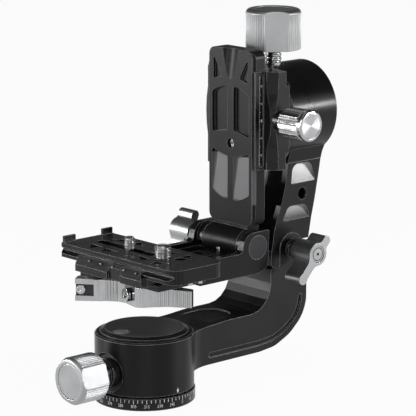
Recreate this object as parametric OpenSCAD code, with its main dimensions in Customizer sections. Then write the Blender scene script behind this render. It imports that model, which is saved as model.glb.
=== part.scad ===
// Gimbal tripod head: a panning base, a folding side arm, a tilting rail clamp and a lever clamp.
// Lengths are millimetres. Z is up, the tilt axis runs along X and the lens points along Y.
// The origin is the centre of the base's underside, on the pan axis.

/* [Base and pan housing] */
// How far the graduated base ring stands out past the housing
base_flare = 0.55; // [0.2:0.05:1]
// Height of the graduated base ring
base_h = 6.9; // [6.4:0.1:8]
// Radius of the turning housing
housing_r = 28.35; // [27.8:0.05:29]
// Height of the housing's top above the underside
housing_top = 39.1; // [38:0.1:41]
// Radius of the tripod thread, 3/8 inch
tripod_thread_r = 4.76; // [4.5:0.01:5]
// Depth of the tripod thread
tripod_thread_depth = 12; // [10:0.5:14]
// Distance from the housing's outside in to the pan spindle
spindle_inset = 14.35; // [14:0.05:15]
// Distance from the housing's outside in to the cover disc
cover_inset = 3.05; // [2.5:0.05:4]

/* [Side arm] */
// Distance of the fold axis from the pan axis
fold_x = 98.4; // [96:0.2:102]
// Height of the fold axis
fold_z = 74.8; // [73:0.2:77]
// Width of the arm along the lens axis
arm_width = 36; // [34:0.5:38]
// Thickness of the arm's upright leg
leg_t = 29.1; // [27:0.1:31]
// Height of the arm's underside
arm_under_z = 16.3; // [15:0.1:17.5]
// Height of the flat top of the arm's foot
arm_foot_z = 40.1; // [39.3:0.1:42]
// Radius inside the elbow
elbow_r = 16; // [12:0.5:17]
// Height of the tilt axis
tilt_z = 154; // [152:0.5:158]
// Radius of the tilt drum
drum_r = 27.5; // [26.5:0.1:29]
// Depth of the tilt drum
drum_depth = 37.7; // [36:0.1:40]

/* [Rail and rail clamp] */
// Width of the rail over its dovetail
rail_w = 36; // [34:0.5:36.5]
// Thickness of the rail
rail_t = 10.3; // [9.6:0.1:11.5]
// Length of the rail's slide
rail_len = 101.8; // [98:0.2:106]
// Length of the clamp jaws
jaw_len = 57; // [52:0.5:60]
// Depth of the clamp body behind the rail
clamp_depth = 10; // [9:0.1:11]
// Radius of the clamp knob
clamp_knob_r = 8.85; // [8:0.05:9.5]
// Length of the clamp knob
clamp_knob_len = 19; // [16:0.5:21]

/* [Platform and lever clamp] */
// Height of the platform hinge axis
hinge_z = 81; // [80:0.2:81.6]
// Radius of the hinge barrel
barrel_r = 9.2; // [8.6:0.1:9.6]
// Width over the platform's fork
fork_w = 46.8; // [46:0.2:50]
// Distance from the hinge axis to the middle of the camera plate
plate_reach = 69; // [67:0.5:72]
// Height of the camera plate's top face
plate_top_z = 85.5; // [85:0.1:86.5]
// Width of the camera plate
plate_w = 38; // [36:0.5:40]
// Length of the camera plate
plate_len = 98; // [92:1:104]
// Length of the lever clamp
release_len = 60; // [56:1:64]

/* [Knobs, levers and screws] */
// Radius of the pan knob
pan_knob_r = 13.5; // [11:0.1:14.5]
// Length of the pan knob
pan_knob_len = 18.3; // [15:0.1:20]
// Radius of the tilt knob
tilt_knob_r = 16.2; // [14:0.1:17]
// Length of the tilt knob
tilt_knob_len = 23.5; // [20:0.1:25]
// Depth of each wing lever's lobes
wing_depth = 12; // [9:0.5:13]
// Radius of each wing lever's hub
wing_hub_r = 6.8; // [6.4:0.1:7.4]
// Radius of the quarter-inch camera screw
quarter_r = 3.175; // [3:0.025:3.3]
// Radius of the three-eighths-inch camera screw
three_eighths_r = 4.76; // [4.5:0.01:5]

/* [Hidden] */
$fn = 72;

// Clearances and small sizes shared by all pieces
past = 1;
run_gap = 0.05;
seat_gap = 0.05;
move_gap = 0.3;
edge = 0.8;
fine_edge = 0.4;

// Sizes of the base, from the underside up
base_r = housing_r + base_flare;
spindle_r = housing_r - spindle_inset;
cover_r = housing_r - cover_inset;
base_flange_h = 2.5;
flange_rim = 3;
base_ring_r = spindle_r + flange_rim;
base_flange_r = base_ring_r + flange_rim;
base_screw_r = 1.25;
base_screw_head_r = 2.4;
base_screw_head_h = 1.4;
base_tip_gap = 0.4;
base_screw_count = 3;
washer_t = 1.2;
washer_inset = 5.35;
washer_inner_r = spindle_r + edge;
washer_outer_r = housing_r - washer_inset;
housing_low = base_h + move_gap;
bush_wall = 2;
cover_rim = 4.3;
cap_pocket_r = cover_r - cover_rim;
cap_pocket_depth = 9.1;
step_top_z = housing_top - cap_pocket_depth;
shoulder_t = 4;
bush_top_z = step_top_z - shoulder_t;
stud_thread_r = 9;
stud_thread_h = 5.4;
stud_top_z = step_top_z + stud_thread_h;
retainer_rim = 2;
retainer_r = cap_pocket_r - retainer_rim;
retainer_h = 4;
retainer_key_r = 1.5;
cover_sink = 1.7;
cover_seat_z = housing_top - cover_sink;
cover_edge_rise = 0.9;
cover_edge_z = housing_top + cover_edge_rise;
cover_rise = 2.3;
cover_top_z = housing_top + cover_rise;
cover_bevel = 2.4;
level_r = 4.9;
level_inset = 7.9;
level_x = cover_r - level_inset;
level_depth = 2.2;
level_floor_z = cover_top_z - level_depth;
level_glass_t = 0.5;
level_sink = 0.1;

// Pan knob and its stud, along -X
pan_knob_rise = 12.8;
pan_knob_z = base_h + pan_knob_rise;
pan_knob_gap = 8.65;
pan_knob_back_x = -housing_r - pan_knob_gap;
knob_spot_depth = 2.35;
collar_seat_x = knob_spot_depth - housing_r;
collar_root_len = 6.5;
collar_root_x = collar_seat_x + collar_root_len;
collar_root_r = 6;
collar_wide_r = 8.6;
collar_wide_t = 4;
collar_narrow_r = 6.8;
collar_end_gap = 0.5;
knob_spot_r = 11.5;
lock_stud_r = 3;
stud_bore_r = lock_stud_r + 2 * run_gap;
bore_share = 0.6;
stud_tip_gap = 0.15;

// Shares that shape a knob, taken of its radius and length
flat_angle = 26;
view_turn = -132.4;
small_step = 0.5;
flat_count = 3;
shoulder_share = 0.16;
pan_cap_share = 0.74;
tilt_cap_share = 0.65;
cap_depth_share = 0.09;
cap_height_share = 0.8;
pan_flat_turn = 77;
tilt_flat_turn = 6;

// Fold joint
half_arm = arm_width / 2;
disc_r = 9;
fold_notch_r = disc_r + move_gap;
tongue_w = 16.4;
fold_washer_t = 0.8;
cheek_inner = tongue_w / 2 + fold_washer_t + run_gap;
fold_bolt_r = 4;
fold_head_r = 6;
fold_head_t = 3.2;
fold_head_sink = 1.4;
lever_off = 6.5;
hub_len = 16;
collar_r = 5.9;
collar_groove = 0.9;
hex_key_r = 2.3;
lever_cap_r = 5;
lever_cap_t = 1.4;
bolt_in_lever = 9;
wing_long_reach = 17.6;
wing_long_tip_r = 3.2;
wing_long_w = 5.4;
wing_short_reach = 9.8;
wing_short_tip_r = 2.8;
wing_short_w = 5.4;
wing_blend_r = 6;
wing_short_blend_r = 2;
wing_lobe_angle = 177.4;
fold_wing_turn = -132;
platform_wing_turn = 112.6;

// Outline of the lower arm, in shares of the leg's thickness and the elbow's heights
leg_inner_share = 0.557;
leg_inner_x = fold_x - leg_inner_share * leg_t;
leg_outer_x = leg_inner_x + leg_t;
arm_root_drop = 1.4;
arm_root_z = arm_foot_z - arm_root_drop;
shoulder_below = 10.4;
shoulder_z = fold_z - shoulder_below;
shoulder_drop = 1.8;
neck_offset = 3.8;
neck_x = fold_x + neck_offset;
neck_below = 14.8;
neck_z = fold_z - neck_below;
finger_gap = 0.4;
finger_low_z = shoulder_z + finger_gap;
finger_round = 2.4;
blend_r = 30;
housing_blend_x = sqrt(pow(housing_r + blend_r, 2) - pow(half_arm + blend_r, 2));
arm_root_round = 20;
outer_elbow_shares = [[0, 1.55, 1.2], [-0.2, 0.98, 1.35], [-0.85, 0.42, 1.4], [-1.6, 0.08, 1.4], [-2.4,
    0, 1.4]];
channel_depth = 1.2;
channel_w = 3.2;
channel_inset = 3.8;
elbow_turn_share = [0.92, 0.72, 0.42, 0.2, 0.06];
channel_from_housing = 5;
channel_start_x = housing_r + channel_from_housing;
channel_end_drop = 14;
channel_end_z = neck_z - channel_end_drop;
top_step_depth = 0.7;
top_step_r = 11.5;
top_step_to_elbow = 4.2;
top_step_end_x = leg_inner_x - elbow_r - top_step_to_elbow;

// Outline of the upper arm, in shares of the leg's thickness and of the rise between the axes
arm_rise = tilt_z - fold_z;
upper_right_shares = [[0.485, 0.053], [0.56, 0.2], [0.649, 0.33], [0.739, 0.49], [0.814, 0.638],
    [0.86, 0.69], [0.95, 0.75], [0.95, 0.9]];
upper_left_shares = [[-0.1, 0.9], [0.06, 0.765], [-0.06, 0.71], [-0.096, 0.652], [-0.144, 0.535],
    [-0.182, 0.455], [-0.258, 0.359], [-0.378, 0.247], [-0.471, 0.154], [-0.5, 0.08], [-0.54, 0]];
pocket_depth = 3.4;
top_pocket_shares = [[-0.01, 0.48, 0.03], [0.03, 0.625, 0.16], [0.53, 0.625, 0.16], [0.665, 0.48,
    0.03]];
low_pocket_shares = [[-0.24, 0.21, 0.03], [-0.09, 0.315, 0.16], [0.4, 0.315, 0.16], [0.525, 0.21,
    0.03]];
drum_joint_share = 0.64;
drum_joint_z = fold_z + drum_joint_share * arm_rise;
accessory_share = [0.31, 0.395];
accessory_x = fold_x + accessory_share.x * leg_t;
accessory_z = fold_z + accessory_share.y * arm_rise;
accessory_depth = 12;
accessory_sink = 0.6;

// Tilt drum and its spindle
drum_lead = 9.1;
tilt_face_x = fold_x - drum_lead;
drum_x = tilt_face_x + drum_depth;
drum_edge = 1.3;
drum_bore_r = 14;
tilt_journal_r = 10;
tilt_land_r = 12;
tilt_bush_len = 6;
tilt_bush_set = 0.5;
rear_bush_gap = 8.5;
tilt_thread_r = 8;
spindle_nut_t = 4;
spindle_nut_r = 13;
nut_set = 0.2;
drum_cover_r = 23;
drum_cover_t = 2.4;
lid_sink = 0.3;
drum_screw_ring_r = 18.5;
drum_screw_r = 1.25;
lid_head_r = 2.3;
lid_head_t = 1.3;
drum_screw_len = 6;
drum_screw_count = 3;
flange_t = 2;
flange_r = 20;
knob_from_face = 11;
tilt_knob_x = tilt_face_x + knob_from_face;
tilt_collar_len = 8.9;
tilt_knob_low = tilt_z + drum_r + tilt_collar_len;
tilt_collar_r = 4.9;
tilt_collar_root_r = 4.3;
tilt_collar_root = 6;
collar_groove_r = 0.9;
collar_grooves = 3;
tilt_spot_r = 6;
drum_spot_depth = 0.5;
drum_spot_z = tilt_z + drum_r - drum_spot_depth;

// Rail clamp, worked back along X from the drum
clamp_x = tilt_face_x - move_gap - flange_t;
clamp_seat_x = clamp_x - clamp_depth;
rail_back_x = clamp_seat_x - move_gap;
rail_x = rail_back_x - rail_t;
half_rail = rail_w / 2;
groove_front = 0.7;
groove_back = 3.2;
groove_depth = 1.9;
jaw_drop = 0.4;
jaw_mid_z = tilt_z - jaw_drop;
jaw_low_z = jaw_mid_z - jaw_len / 2;
jaw_top_z = jaw_mid_z + jaw_len / 2;
jaw_inside = 3.5;
jaw_split_y = jaw_inside - half_rail;
lip_w = 2;
jaw_w = 10;
jaw_out_w = half_rail + jaw_w;
fixed_jaw_w = 10.8;
fixed_jaw_out_w = half_rail + fixed_jaw_w;
fixed_jaw_bulge = 2.4;
jaw_step = 2.7;
jaw_step_x = rail_back_x - jaw_step;
jaw_end_lip_w = half_rail + jaw_inside;
jaw_mid_lip = 7.8;
jaw_mid_lip_w = half_rail + jaw_mid_lip;
jaw_end_bevel = 4;
jaw_mid_bevel = 2;
jaw_mix_shares = [[0, 1], [0.13, 0.85], [0.27, 0.25], [0.5, 0]];
scale_slot_depth = 0.7;
scale_slot_w = 3.4;
scale_slot_end = 1.6;
clamp_knob_inset = 7;
clamp_knob_x = clamp_x - clamp_knob_inset;
jaw_boss_r = 6.4;
jaw_boss_t = 5.4;
clamp_screw_r = 2.5;
clamp_screw_in = 24.5;
clamp_travel = 2;
clamp_screw_end_y = jaw_split_y + clamp_screw_in;
clamp_cap_share = 0.8;
flute_count = 8;
flute_r = 1.6;
flute_depth = 0.5;
guide_pin_r = 1.5;
guide_pin_rise = 19;
guide_pin_in = 8;
guide_pin_tail = 3;
body_ring_r = 15;
body_screw_r = 1.5;
body_head_r = 2.8;
body_head_t = 2.6;
body_screw_count = 4;

// Rail face, in shares of the rail's half width and length
rail_over_barrel = 1.6;
rail_low_z = hinge_z + barrel_r + rail_over_barrel;
rail_top_z = rail_low_z + rail_len;
rail_corner = 4.5;
scoop_r = 10;
scoop_len = 17;
scoop_depth = 2.4;
corner_pocket_depth = 1.8;
corner_shares = [[0.4, 0.837], [0.806, 0.817], [0.806, 0.961]];
field_inner_share = 0.135;
field_outer_share = 0.862;
field_round = 1.3;
upper_field_share = [0.534, 0.792];
lower_field_share = [0.132, 0.383];
upper_field_arcs = [44, 27];
lower_field_arcs = [-27, -31.5];
field_depth = 2.2;
rail_hole_share = 0.4604;
rail_hole_r = 2.75;
rail_hole_depth = 6;
rail_screw_r = 2.2;
rail_screw_sink = 1.6;
knuckle_half = 14;
web_back = 1;

// Platform hinge and arm
hinge_in = 0.1;
hinge_x = rail_x + hinge_in;
half_fork = fork_w / 2;
ear_gap = 0.8;
ear_inner = half_rail + ear_gap;
ear_top_z = hinge_z + barrel_r;
ear_back_x = hinge_x + barrel_r - move_gap;
arm_below_hinge = 15.4;
arm_low_z = hinge_z - arm_below_hinge;
arm_top_drop = 1.7;
arm_top_z = hinge_z - arm_top_drop;
ear_corner = 5.5;
hinge_pin_r = 4;
pin_cap_r = 7;
pin_cap_t = 1.5;
arm_floor_depth = 3;
arm_floor_z = arm_top_z - arm_floor_depth;
arm_wall = 3.6;
barrel_clear = 0.7;
arm_slot_w = 3.2;
arm_slot_y = 6.5;
arm_slot_shares = [0.25, 0.75];
arm_slot_depth = 2;
stop_pin_r = 1.1;
stop_pin_back = 20.5;
stop_pin_x = hinge_x - stop_pin_back;
stop_pin_rise = 2;
stop_pin_top_z = hinge_z + stop_pin_rise;
ear_front_x = hinge_x - barrel_r - edge;
ear_round = 8;
ear_flare = 2.2;
stop_pin_y = -12;
stop_pin_root = 3;
ledge_half_w = 13;
ledge_len = 15;

// Camera plate and its dovetail
plate_x = hinge_x - plate_reach;
plate_y = -1;
half_plate = plate_w / 2;
flange_h = 2.3;
plate_t = 8.1;
plate_z = plate_top_z - plate_t;
foot_h = 2;
dovetail_rise = 2;
neck_h = 0.6;
plate_near_corner = 7;
plate_far_corner = 1.5;
lip_h = 3.6;
lip_t = 1.6;
lip_shares = [[0.04, 0.26], [0.79, 0.985]];
lip_edge = 0.3;
plate_slot_w = 6.8;
plate_slot_shares = [0.41, 0.85];
slot_step_w = 12;
slot_step_h = 3.4;
small_y_share = 0.605;
big_y_share = 0.315;
small_head_r = 5.5;
big_head_r = 7;
screw_head_t = 2.6;
screw_stand = 7.2;
screw_neck_cut = 0.6;
screw_key_w = 1.4;
screw_key_depth = 1.2;
recess_depth = 1.6;
recess_x = 10;
recess_shares = [[0.05, 0.86], [0.05, 0.75], [-0.16, 0.77], [0.02, 0.7], [0.02, 0.6], [-0.16, 0.69],
    [0.08, 0.44], [0.06, 0.34], [-0.14, 0.33], [0.04, 0.27], [0.06, 0.17], [-0.14, 0.25]];
safety_share = 0.215;
safety_hole_x = 4.4;
safety_hole_r = 3.4;
stop_screw_r = 1.3;
stop_screw_drop = 2.2;
stop_screw_end = 4;
stop_screw_pair = 3.6;
stop_screw_root = 3;

// Lever clamp
jaw_foot_h = 5.2;
jaw_z = plate_z - jaw_foot_h;
base_plate_t = 3.2;
base_plate_z = jaw_z - base_plate_t;
fixed_lip_x = plate_x + half_plate;
base_jaw_w = 4.5;
base_back_x = fixed_lip_x + base_jaw_w;
arm_end_x = base_back_x + seat_gap;
base_corner = 3;
slide_gap = 0.1;
clamp_y = 1.8;
jaw_near_inset = 3.2;
jaw_far_inset = 0.2;
jaw_near_y = clamp_y - release_len / 2 + jaw_near_inset;
jaw_far_y = clamp_y + release_len / 2 - jaw_far_inset;
jaw_pin_out = 9.6;
jaw_lip_x = plate_x - half_plate;
lip_reach = 1.6;
lip_flat = 0.2;
lip_top_z = plate_z + foot_h + lip_reach + lip_flat;
jaw_wall = 2.7;
jaw_slope = 2.6;
jaw_slope_drop = 5;
jaw_foot_w = 12.3;
jaw_notch_depth = 1.5;
notch_shares = [0.49, 0.69];
seat_clear = 0.8;
seat_x = jaw_lip_x + jaw_foot_w - jaw_wall + seat_clear;
pivot_in = 3;
pivot_x = jaw_lip_x + pivot_in;
pivot_from_end = 5.3;
pivot_y = clamp_y + release_len / 2 - pivot_from_end;
clamp_far_y = clamp_y + release_len / 2;
clamp_near_y = clamp_y - release_len / 2;
pivot_ear_w = 16;
pivot_r = 2;
cam_r = 2.4;
cam_offset = 1.3;
cam_clear = 0.4;
cam_h = 4;
jaw_pin_y = 14;
jaw_pin_r = 1.3;
jaw_pin_in = 5;
base_screw_y = 8;
base_bolt_r = 1.5;
base_bolt_head_r = 2.7;
base_bolt_head_t = 2;
base_bolt_len = 7;

// Release lever: outline points from the pivot, in shares of the lever's length
lever_len = 70;
lever_drop = 7;
lever_z = base_plate_z - lever_drop;
root_h = 13;
lever_tip_h = 9.2;
lever_angle = -61.6;
lever_root_shares = [-0.113, 0.041];
lever_outer_shares = [[-0.113, 0.041], [0.021, -0.121], [0.055, -0.145], [0.106, -0.229], [0.119,
    -0.311],
    [0.076, -0.486], [0.099, -0.541], [0.19, -0.604], [0.264, -0.673], [0.316, -0.77], [0.364, -0.84]];
lever_inner_shares = [[0.421, -0.8], [0.386, -0.693], [0.343, -0.6], [0.264, -0.514], [0.186, -0.45],
    [0.193, -0.336], [0.214, -0.25], [0.186, -0.179], [0.093, -0.021], [0.057, 0.071], [-0.029, 0.1]];
window_h = 6.8;
window_len = 10.9;
window_turn = -50.5;
tension_head_r = 2.6;
tension_head_t = 1.7;
tension_shank_r = 1.4;
tension_along = 4;
tension_x = 3.2;
window_depth = 1.9;
lever_bolt_r = 3.9;
lever_bolt_share = [0.083, -0.367];
lever_bolt_out = 0.8;
lever_bolt_root = 3;
lever_bolt_turn = 166;
bolt_pocket_r = 5;
bolt_pocket_depth = 1;

// Rounds one corner of an outline with an arc of the given radius
function arc_corner(before, corner, after, radius, steps) = radius <= 0 ? [corner] :
    let (
        to_before = (before - corner) / norm(before - corner),
        to_after = (after - corner) / norm(after - corner),
        half = acos(to_before * to_after) / 2,
        centre = corner + (to_before + to_after) / norm(to_before + to_after) * radius / sin(half),
        first = corner + to_before * radius / tan(half) - centre,
        last = corner + to_after * radius / tan(half) - centre,
        start = atan2(first.y, first.x),
        turn = (atan2(last.y, last.x) - start + 540) % 360 - 180
    )
    [for (i = [0:steps]) centre + radius * [cos(start + turn * i / steps),
        sin(start + turn * i / steps)]];

// Rounds every corner of an outline whose points are [x, y, radius]
function rounded(corners, steps = 5) = [for (i = [0:len(corners) - 1])
    let (n = len(corners), a = corners[(i + n - 1) % n], b = corners[i], c = corners[(i + 1) % n])
    each arc_corner([a.x, a.y], [b.x, b.y], [c.x, c.y], b.z, steps)];

// A rectangle's corners, all with one radius
function box_corners(x0, x1, y0, y1, radius) =
    [[x0, y0, radius], [x1, y0, radius], [x1, y1, radius], [x0, y1, radius]];

// Cylinders and extrusions along each axis, between two places
module round_x(x0, x1, radius) {
    translate([x0, 0, 0]) rotate([0, 90, 0]) cylinder(h = x1 - x0, r = radius);
}

module round_y(y0, y1, radius) {
    translate([0, y1, 0]) rotate([90, 0, 0]) cylinder(h = y1 - y0, r = radius);
}

module round_z(z0, z1, radius) {
    translate([0, 0, z0]) cylinder(h = z1 - z0, r = radius);
}

module extrude_x(x0, x1) {
    translate([x0, 0, 0]) rotate([90, 0, 90]) linear_extrude(x1 - x0) children();
}

module extrude_y(y0, y1) {
    translate([0, y1, 0]) rotate([90, 0, 0]) linear_extrude(y1 - y0) children();
}

module block(x0, x1, y0, y1, z0, z1) {
    translate([x0, y0, z0]) cube([x1 - x0, y1 - y0, z1 - z0]);
}

// A turned disc or post with both edges bevelled
module turned(height, radius, bevel) {
    rotate_extrude() polygon([[0, 0], [radius - bevel, 0], [radius, bevel], [radius, height - bevel],
        [radius - bevel, height], [0, height]]);
}

// A ring between two radii and two heights
module ring(z0, z1, inner, outer) {
    difference() {
        round_z(z0, z1, outer);
        round_z(z0 - past, z1 + past, inner);
    }
}

// Both sides of the plane Y = 0
module both_sides() {
    children();
    mirror([0, 1, 0]) children();
}

// A flat bar that joins two circles by their outer tangents
module tangent_bar(p, p_radius, q, q_radius) {
    heading = atan2(q.y - p.y, q.x - p.x);
    spread = acos((p_radius - q_radius) / norm(q - p));
    translate(p) circle(p_radius);
    translate(q) circle(q_radius);
    polygon([
        p + p_radius * [cos(heading + spread), sin(heading + spread)],
        q + q_radius * [cos(heading + spread), sin(heading + spread)],
        q + q_radius * [cos(heading - spread), sin(heading - spread)],
        p + p_radius * [cos(heading - spread), sin(heading - spread)]
    ]);
}

// Base: everything that stays still on the tripod
module base_ring() {
    color("#1b1b1d") difference() {
        turned(base_h, base_r, fine_edge);
        round_z(-past, base_h + past, spindle_r + seat_gap);
        round_z(base_h - base_flange_h, base_h + past, base_flange_r + seat_gap);
        base_screw_places() base_screw_shape(seat_gap, base_h);
    }
}

module base_screw_places() {
    for (i = [0:base_screw_count - 1]) rotate(i * 360 / base_screw_count) translate([base_ring_r,
        0, 0])
        children();
}

module base_screw_shape(gap, top) {
    round_z(-gap, top, base_screw_r + gap);
    translate([0, 0, -gap]) cylinder(h = base_screw_head_h + 2 * gap,
        r1 = base_screw_head_r + 2 * gap, r2 = base_screw_r + gap);
}

module pan_spindle() {
    color("#8d8f92") difference() {
        union() {
            round_z(0, step_top_z, spindle_r);
            round_z(base_h - base_flange_h, base_h, base_flange_r);
            round_z(step_top_z - past, stud_top_z, stud_thread_r);
        }
        round_z(-past, tripod_thread_depth, tripod_thread_r);
        base_screw_places() round_z(0, base_h - base_tip_gap + seat_gap, base_screw_r + seat_gap);
    }
}

module base_screws() {
    color("#b9bbbe") base_screw_places() difference() {
        base_screw_shape(0, base_h - base_tip_gap);
        round_z(-past, base_screw_head_h / 2, base_screw_r / 2, $fn = 6);
    }
}

module thrust_washer() {
    color("#e9e6dc") ring(base_h, base_h + washer_t, washer_inner_r, washer_outer_r);
}

module pan_retainer() {
    color("#8d8f92") difference() {
        ring(step_top_z + move_gap, step_top_z + move_gap + retainer_h, stud_thread_r + seat_gap,
            retainer_r);
        for (side = [-1, 1]) translate([side * (stud_thread_r + retainer_r) / 2, 0, 0])
            round_z(step_top_z + retainer_h / 2, step_top_z + 2 * retainer_h, retainer_key_r);
    }
}

// Lower arm: the turning housing and the elbow in one machined piece
module lower_arm_outline() {
    polygon(rounded(concat(
        [[0, arm_under_z, 0]],
        outer_elbow(0),
        [[leg_outer_x, neck_z - shoulder_drop, edge], [neck_x, neck_z, 0], [neck_x, fold_z, 0],
            [fold_x - disc_r, fold_z, 0], [fold_x - disc_r, shoulder_z, finger_round / 2],
            [leg_inner_x, shoulder_z, edge], [leg_inner_x, arm_foot_z, elbow_r],
            [housing_r + arm_root_round, arm_foot_z, arm_root_round],
            [housing_r - edge, arm_root_z, 0], [0, arm_root_z, 0]])));
}

// The arm seen from above: its sides run into the housing on two hollow curves
module lower_arm_plan() {
    translate([0, -half_arm]) square([leg_outer_x + leg_t, arm_width]);
    for (side = [-1, 1]) difference() {
        polygon([[0, 0], [housing_blend_x, side * (half_arm + blend_r)], [housing_blend_x, 0]]);
        translate([housing_blend_x, side * (half_arm + blend_r)]) circle(blend_r);
    }
}

// The elbow's outer line, from the foot to the leg, moved inwards
function outer_elbow(inset) = [for (p = [4:-1:0])
    let (share = outer_elbow_shares[p], inward = inset * [-sin(elbow_turn_share[p] * 90),
        cos(elbow_turn_share[p] * 90)])
    [leg_outer_x + share[0] * elbow_r + inward.x, arm_under_z + share[1] * elbow_r + inward.y,
        share[2] * elbow_r - inset]];

// A groove that follows the elbow's outer line, between two insets
function channel_line(inset) = concat([[channel_start_x, arm_under_z + inset, channel_w / 3]],
    outer_elbow(inset), [[leg_outer_x - inset, channel_end_z, channel_w / 3]]);

module lower_arm_channel() {
    far_line = channel_line(channel_inset + channel_w);
    polygon(rounded(concat(channel_line(channel_inset),
        [for (i = [len(far_line) - 1:-1:0]) far_line[i]])));
}

module lower_arm() {
    color("#161618") difference() {
        union() {
            translate([0, 0, housing_low]) turned(housing_top - housing_low, housing_r, edge);
            intersection() {
                extrude_y(-housing_r, housing_r) lower_arm_outline();
                translate([0, 0, arm_under_z - past]) linear_extrude(fold_z) lower_arm_plan();
            }
            both_sides() translate([fold_x, 0, fold_z]) round_y(cheek_inner, half_arm, disc_r);
        }
        // Bores of the housing
        round_z(housing_low - past, base_h + washer_t + run_gap, washer_outer_r + move_gap);
        round_z(housing_low, bush_top_z, spindle_r + bush_wall);
        round_z(housing_low, step_top_z + past, spindle_r + run_gap);
        round_z(step_top_z, housing_top, cap_pocket_r);
        round_z(cover_seat_z, housing_top + 2 * past, cover_r + seat_gap);
        // Pan knob side
        translate([0, 0, pan_knob_z]) {
            round_x(-housing_r - past, collar_seat_x, knob_spot_r);
            round_x(-housing_r, collar_root_x, collar_root_r + seat_gap);
            round_x(-housing_r, 0, stud_bore_r);
        }
        // Fold joint
        translate([fold_x, 0, fold_z]) {
            round_y(-cheek_inner, cheek_inner, fold_notch_r);
            round_y(-half_arm - past, half_arm + past, fold_bolt_r + run_gap);
            round_y(half_arm - fold_head_sink, half_arm + past, fold_head_r + seat_gap);
        }
        // Grooves in both sides and the shallow step on top of the foot
        both_sides() extrude_y(half_arm - channel_depth, half_arm + past) lower_arm_channel();
        translate([0, 0, arm_foot_z - top_step_depth]) linear_extrude(2 * past)
            tangent_bar([housing_r, 0], top_step_r, [top_step_end_x - top_step_r, 0], top_step_r);
    }
}

module pan_bush() {
    color("#b08d57") difference() {
        ring(base_h + washer_t + move_gap, bush_top_z, spindle_r + run_gap, spindle_r + bush_wall);
        translate([0, 0, pan_knob_z]) round_x(-spindle_r - 2 * bush_wall, 0, stud_bore_r);
    }
}

module pan_cover() {
    color("#1a1a1c") difference() {
        rotate_extrude() polygon([[0, cover_seat_z], [cover_r, cover_seat_z], [cover_r, cover_edge_z],
            [cover_r - cover_bevel, cover_top_z], [0, cover_top_z]]);
        translate([-level_x, 0, 0]) round_z(level_floor_z, cover_top_z + past,
            level_r + seat_gap);
    }
}

module level_vial() {
    color("#b6c832") translate([-level_x, 0, 0])
        round_z(level_floor_z, cover_top_z - level_glass_t - level_sink, level_r);
}

module level_lens() {
    color("#dfe8d0") translate([-level_x, 0, 0])
        round_z(cover_top_z - level_glass_t - level_sink, cover_top_z - level_sink, level_r);
}

module pan_knob_collar() {
    color("#2a2a2d") translate([0, 0, pan_knob_z]) difference() {
        union() {
            round_x(collar_seat_x, collar_root_x, collar_root_r);
            round_x(collar_seat_x - collar_wide_t, collar_seat_x, collar_wide_r);
            round_x(pan_knob_back_x + collar_end_gap, collar_seat_x, collar_narrow_r);
        }
        round_x(pan_knob_back_x, 0, lock_stud_r + run_gap);
    }
}

// A knob along Z with its back at zero: smooth flats, a rounded shoulder and a seat for its cap
module knob_body(radius, length, turn, cap_share) {
    shoulder = shoulder_share * radius;
    difference() {
        rotate_extrude() polygon(concat(
            [[0, 0], [radius - fine_edge, 0], [radius, fine_edge]],
            [for (i = [0:5]) [radius - shoulder + shoulder * cos(90 * i / 5), length - shoulder
                + shoulder * sin(90 * i / 5)]],
            [[0, length]]));
        round_z(length - cap_depth_share * length, length + past, cap_share * radius + seat_gap);
        round_z(-past, bore_share * length, lock_stud_r + seat_gap);
        for (i = [0:flat_count - 1]) rotate(turn + i * 360 / flat_count)
            translate([radius * cos(flat_angle), -radius, -past])
                cube([radius, 2 * radius, length + 2 * past]);
    }
}

module knob_cap(radius, length, cap_share) {
    translate([0, 0, length - cap_depth_share * length])
        turned(cap_height_share * cap_depth_share * length, cap_share * radius, fine_edge / 2);
}

// Pan knob body, turning about X
module at_pan_knob() {
    translate([pan_knob_back_x, 0, pan_knob_z]) rotate([0, -90, 0]) children();
}

module pan_knob() {
    color("#c9cbce") at_pan_knob() knob_body(pan_knob_r, pan_knob_len, 90 + pan_flat_turn,
        pan_cap_share);
}

module pan_knob_cap() {
    color("#d8dadc") at_pan_knob() knob_cap(pan_knob_r, pan_knob_len, pan_cap_share);
}

module pan_stud() {
    color("#9a9c9f") translate([0, 0, pan_knob_z])
        round_x(pan_knob_back_x - bore_share * pan_knob_len + seat_gap, -spindle_r - stud_tip_gap,
            lock_stud_r);
}

// Fold joint's fastenings
module at_fold() {
    translate([fold_x, 0, fold_z]) children();
}

module fold_bolt() {
    color("#3a3a3d") at_fold() difference() {
        union() {
            round_y(-half_arm - lever_off - bolt_in_lever, half_arm - fold_head_sink, fold_bolt_r);
            round_y(half_arm - fold_head_sink, half_arm - fold_head_sink + fold_head_t, fold_head_r);
        }
        round_y(half_arm, half_arm + fold_head_t, hex_key_r, $fn = 6);
    }
}

module fold_washers() {
    color("#e9e6dc") at_fold() both_sides() difference() {
        round_y(tongue_w / 2 + run_gap, cheek_inner, disc_r - edge);
        round_y(0, half_arm, fold_bolt_r + seat_gap);
    }
}

// A dark grooved collar between an arm's side and a wing lever
module stand_off_collar() {
    difference() {
        for (step = [0, 1]) round_z(step * collar_groove,
            lever_off - seat_gap - step * collar_groove,
            collar_r - (1 - step) * collar_groove);
        round_z(-past, lever_off + past, fold_bolt_r + seat_gap);
        for (third = [1, 2]) ring(third * lever_off / 3 - collar_groove / 2,
            third * lever_off / 3 + collar_groove / 2, collar_r - collar_groove,
                collar_r + past);
    }
}

module fold_collar() {
    color("#29292b") at_fold() translate([0, -half_arm, 0]) rotate([90, 0, 0]) stand_off_collar();
}

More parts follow.
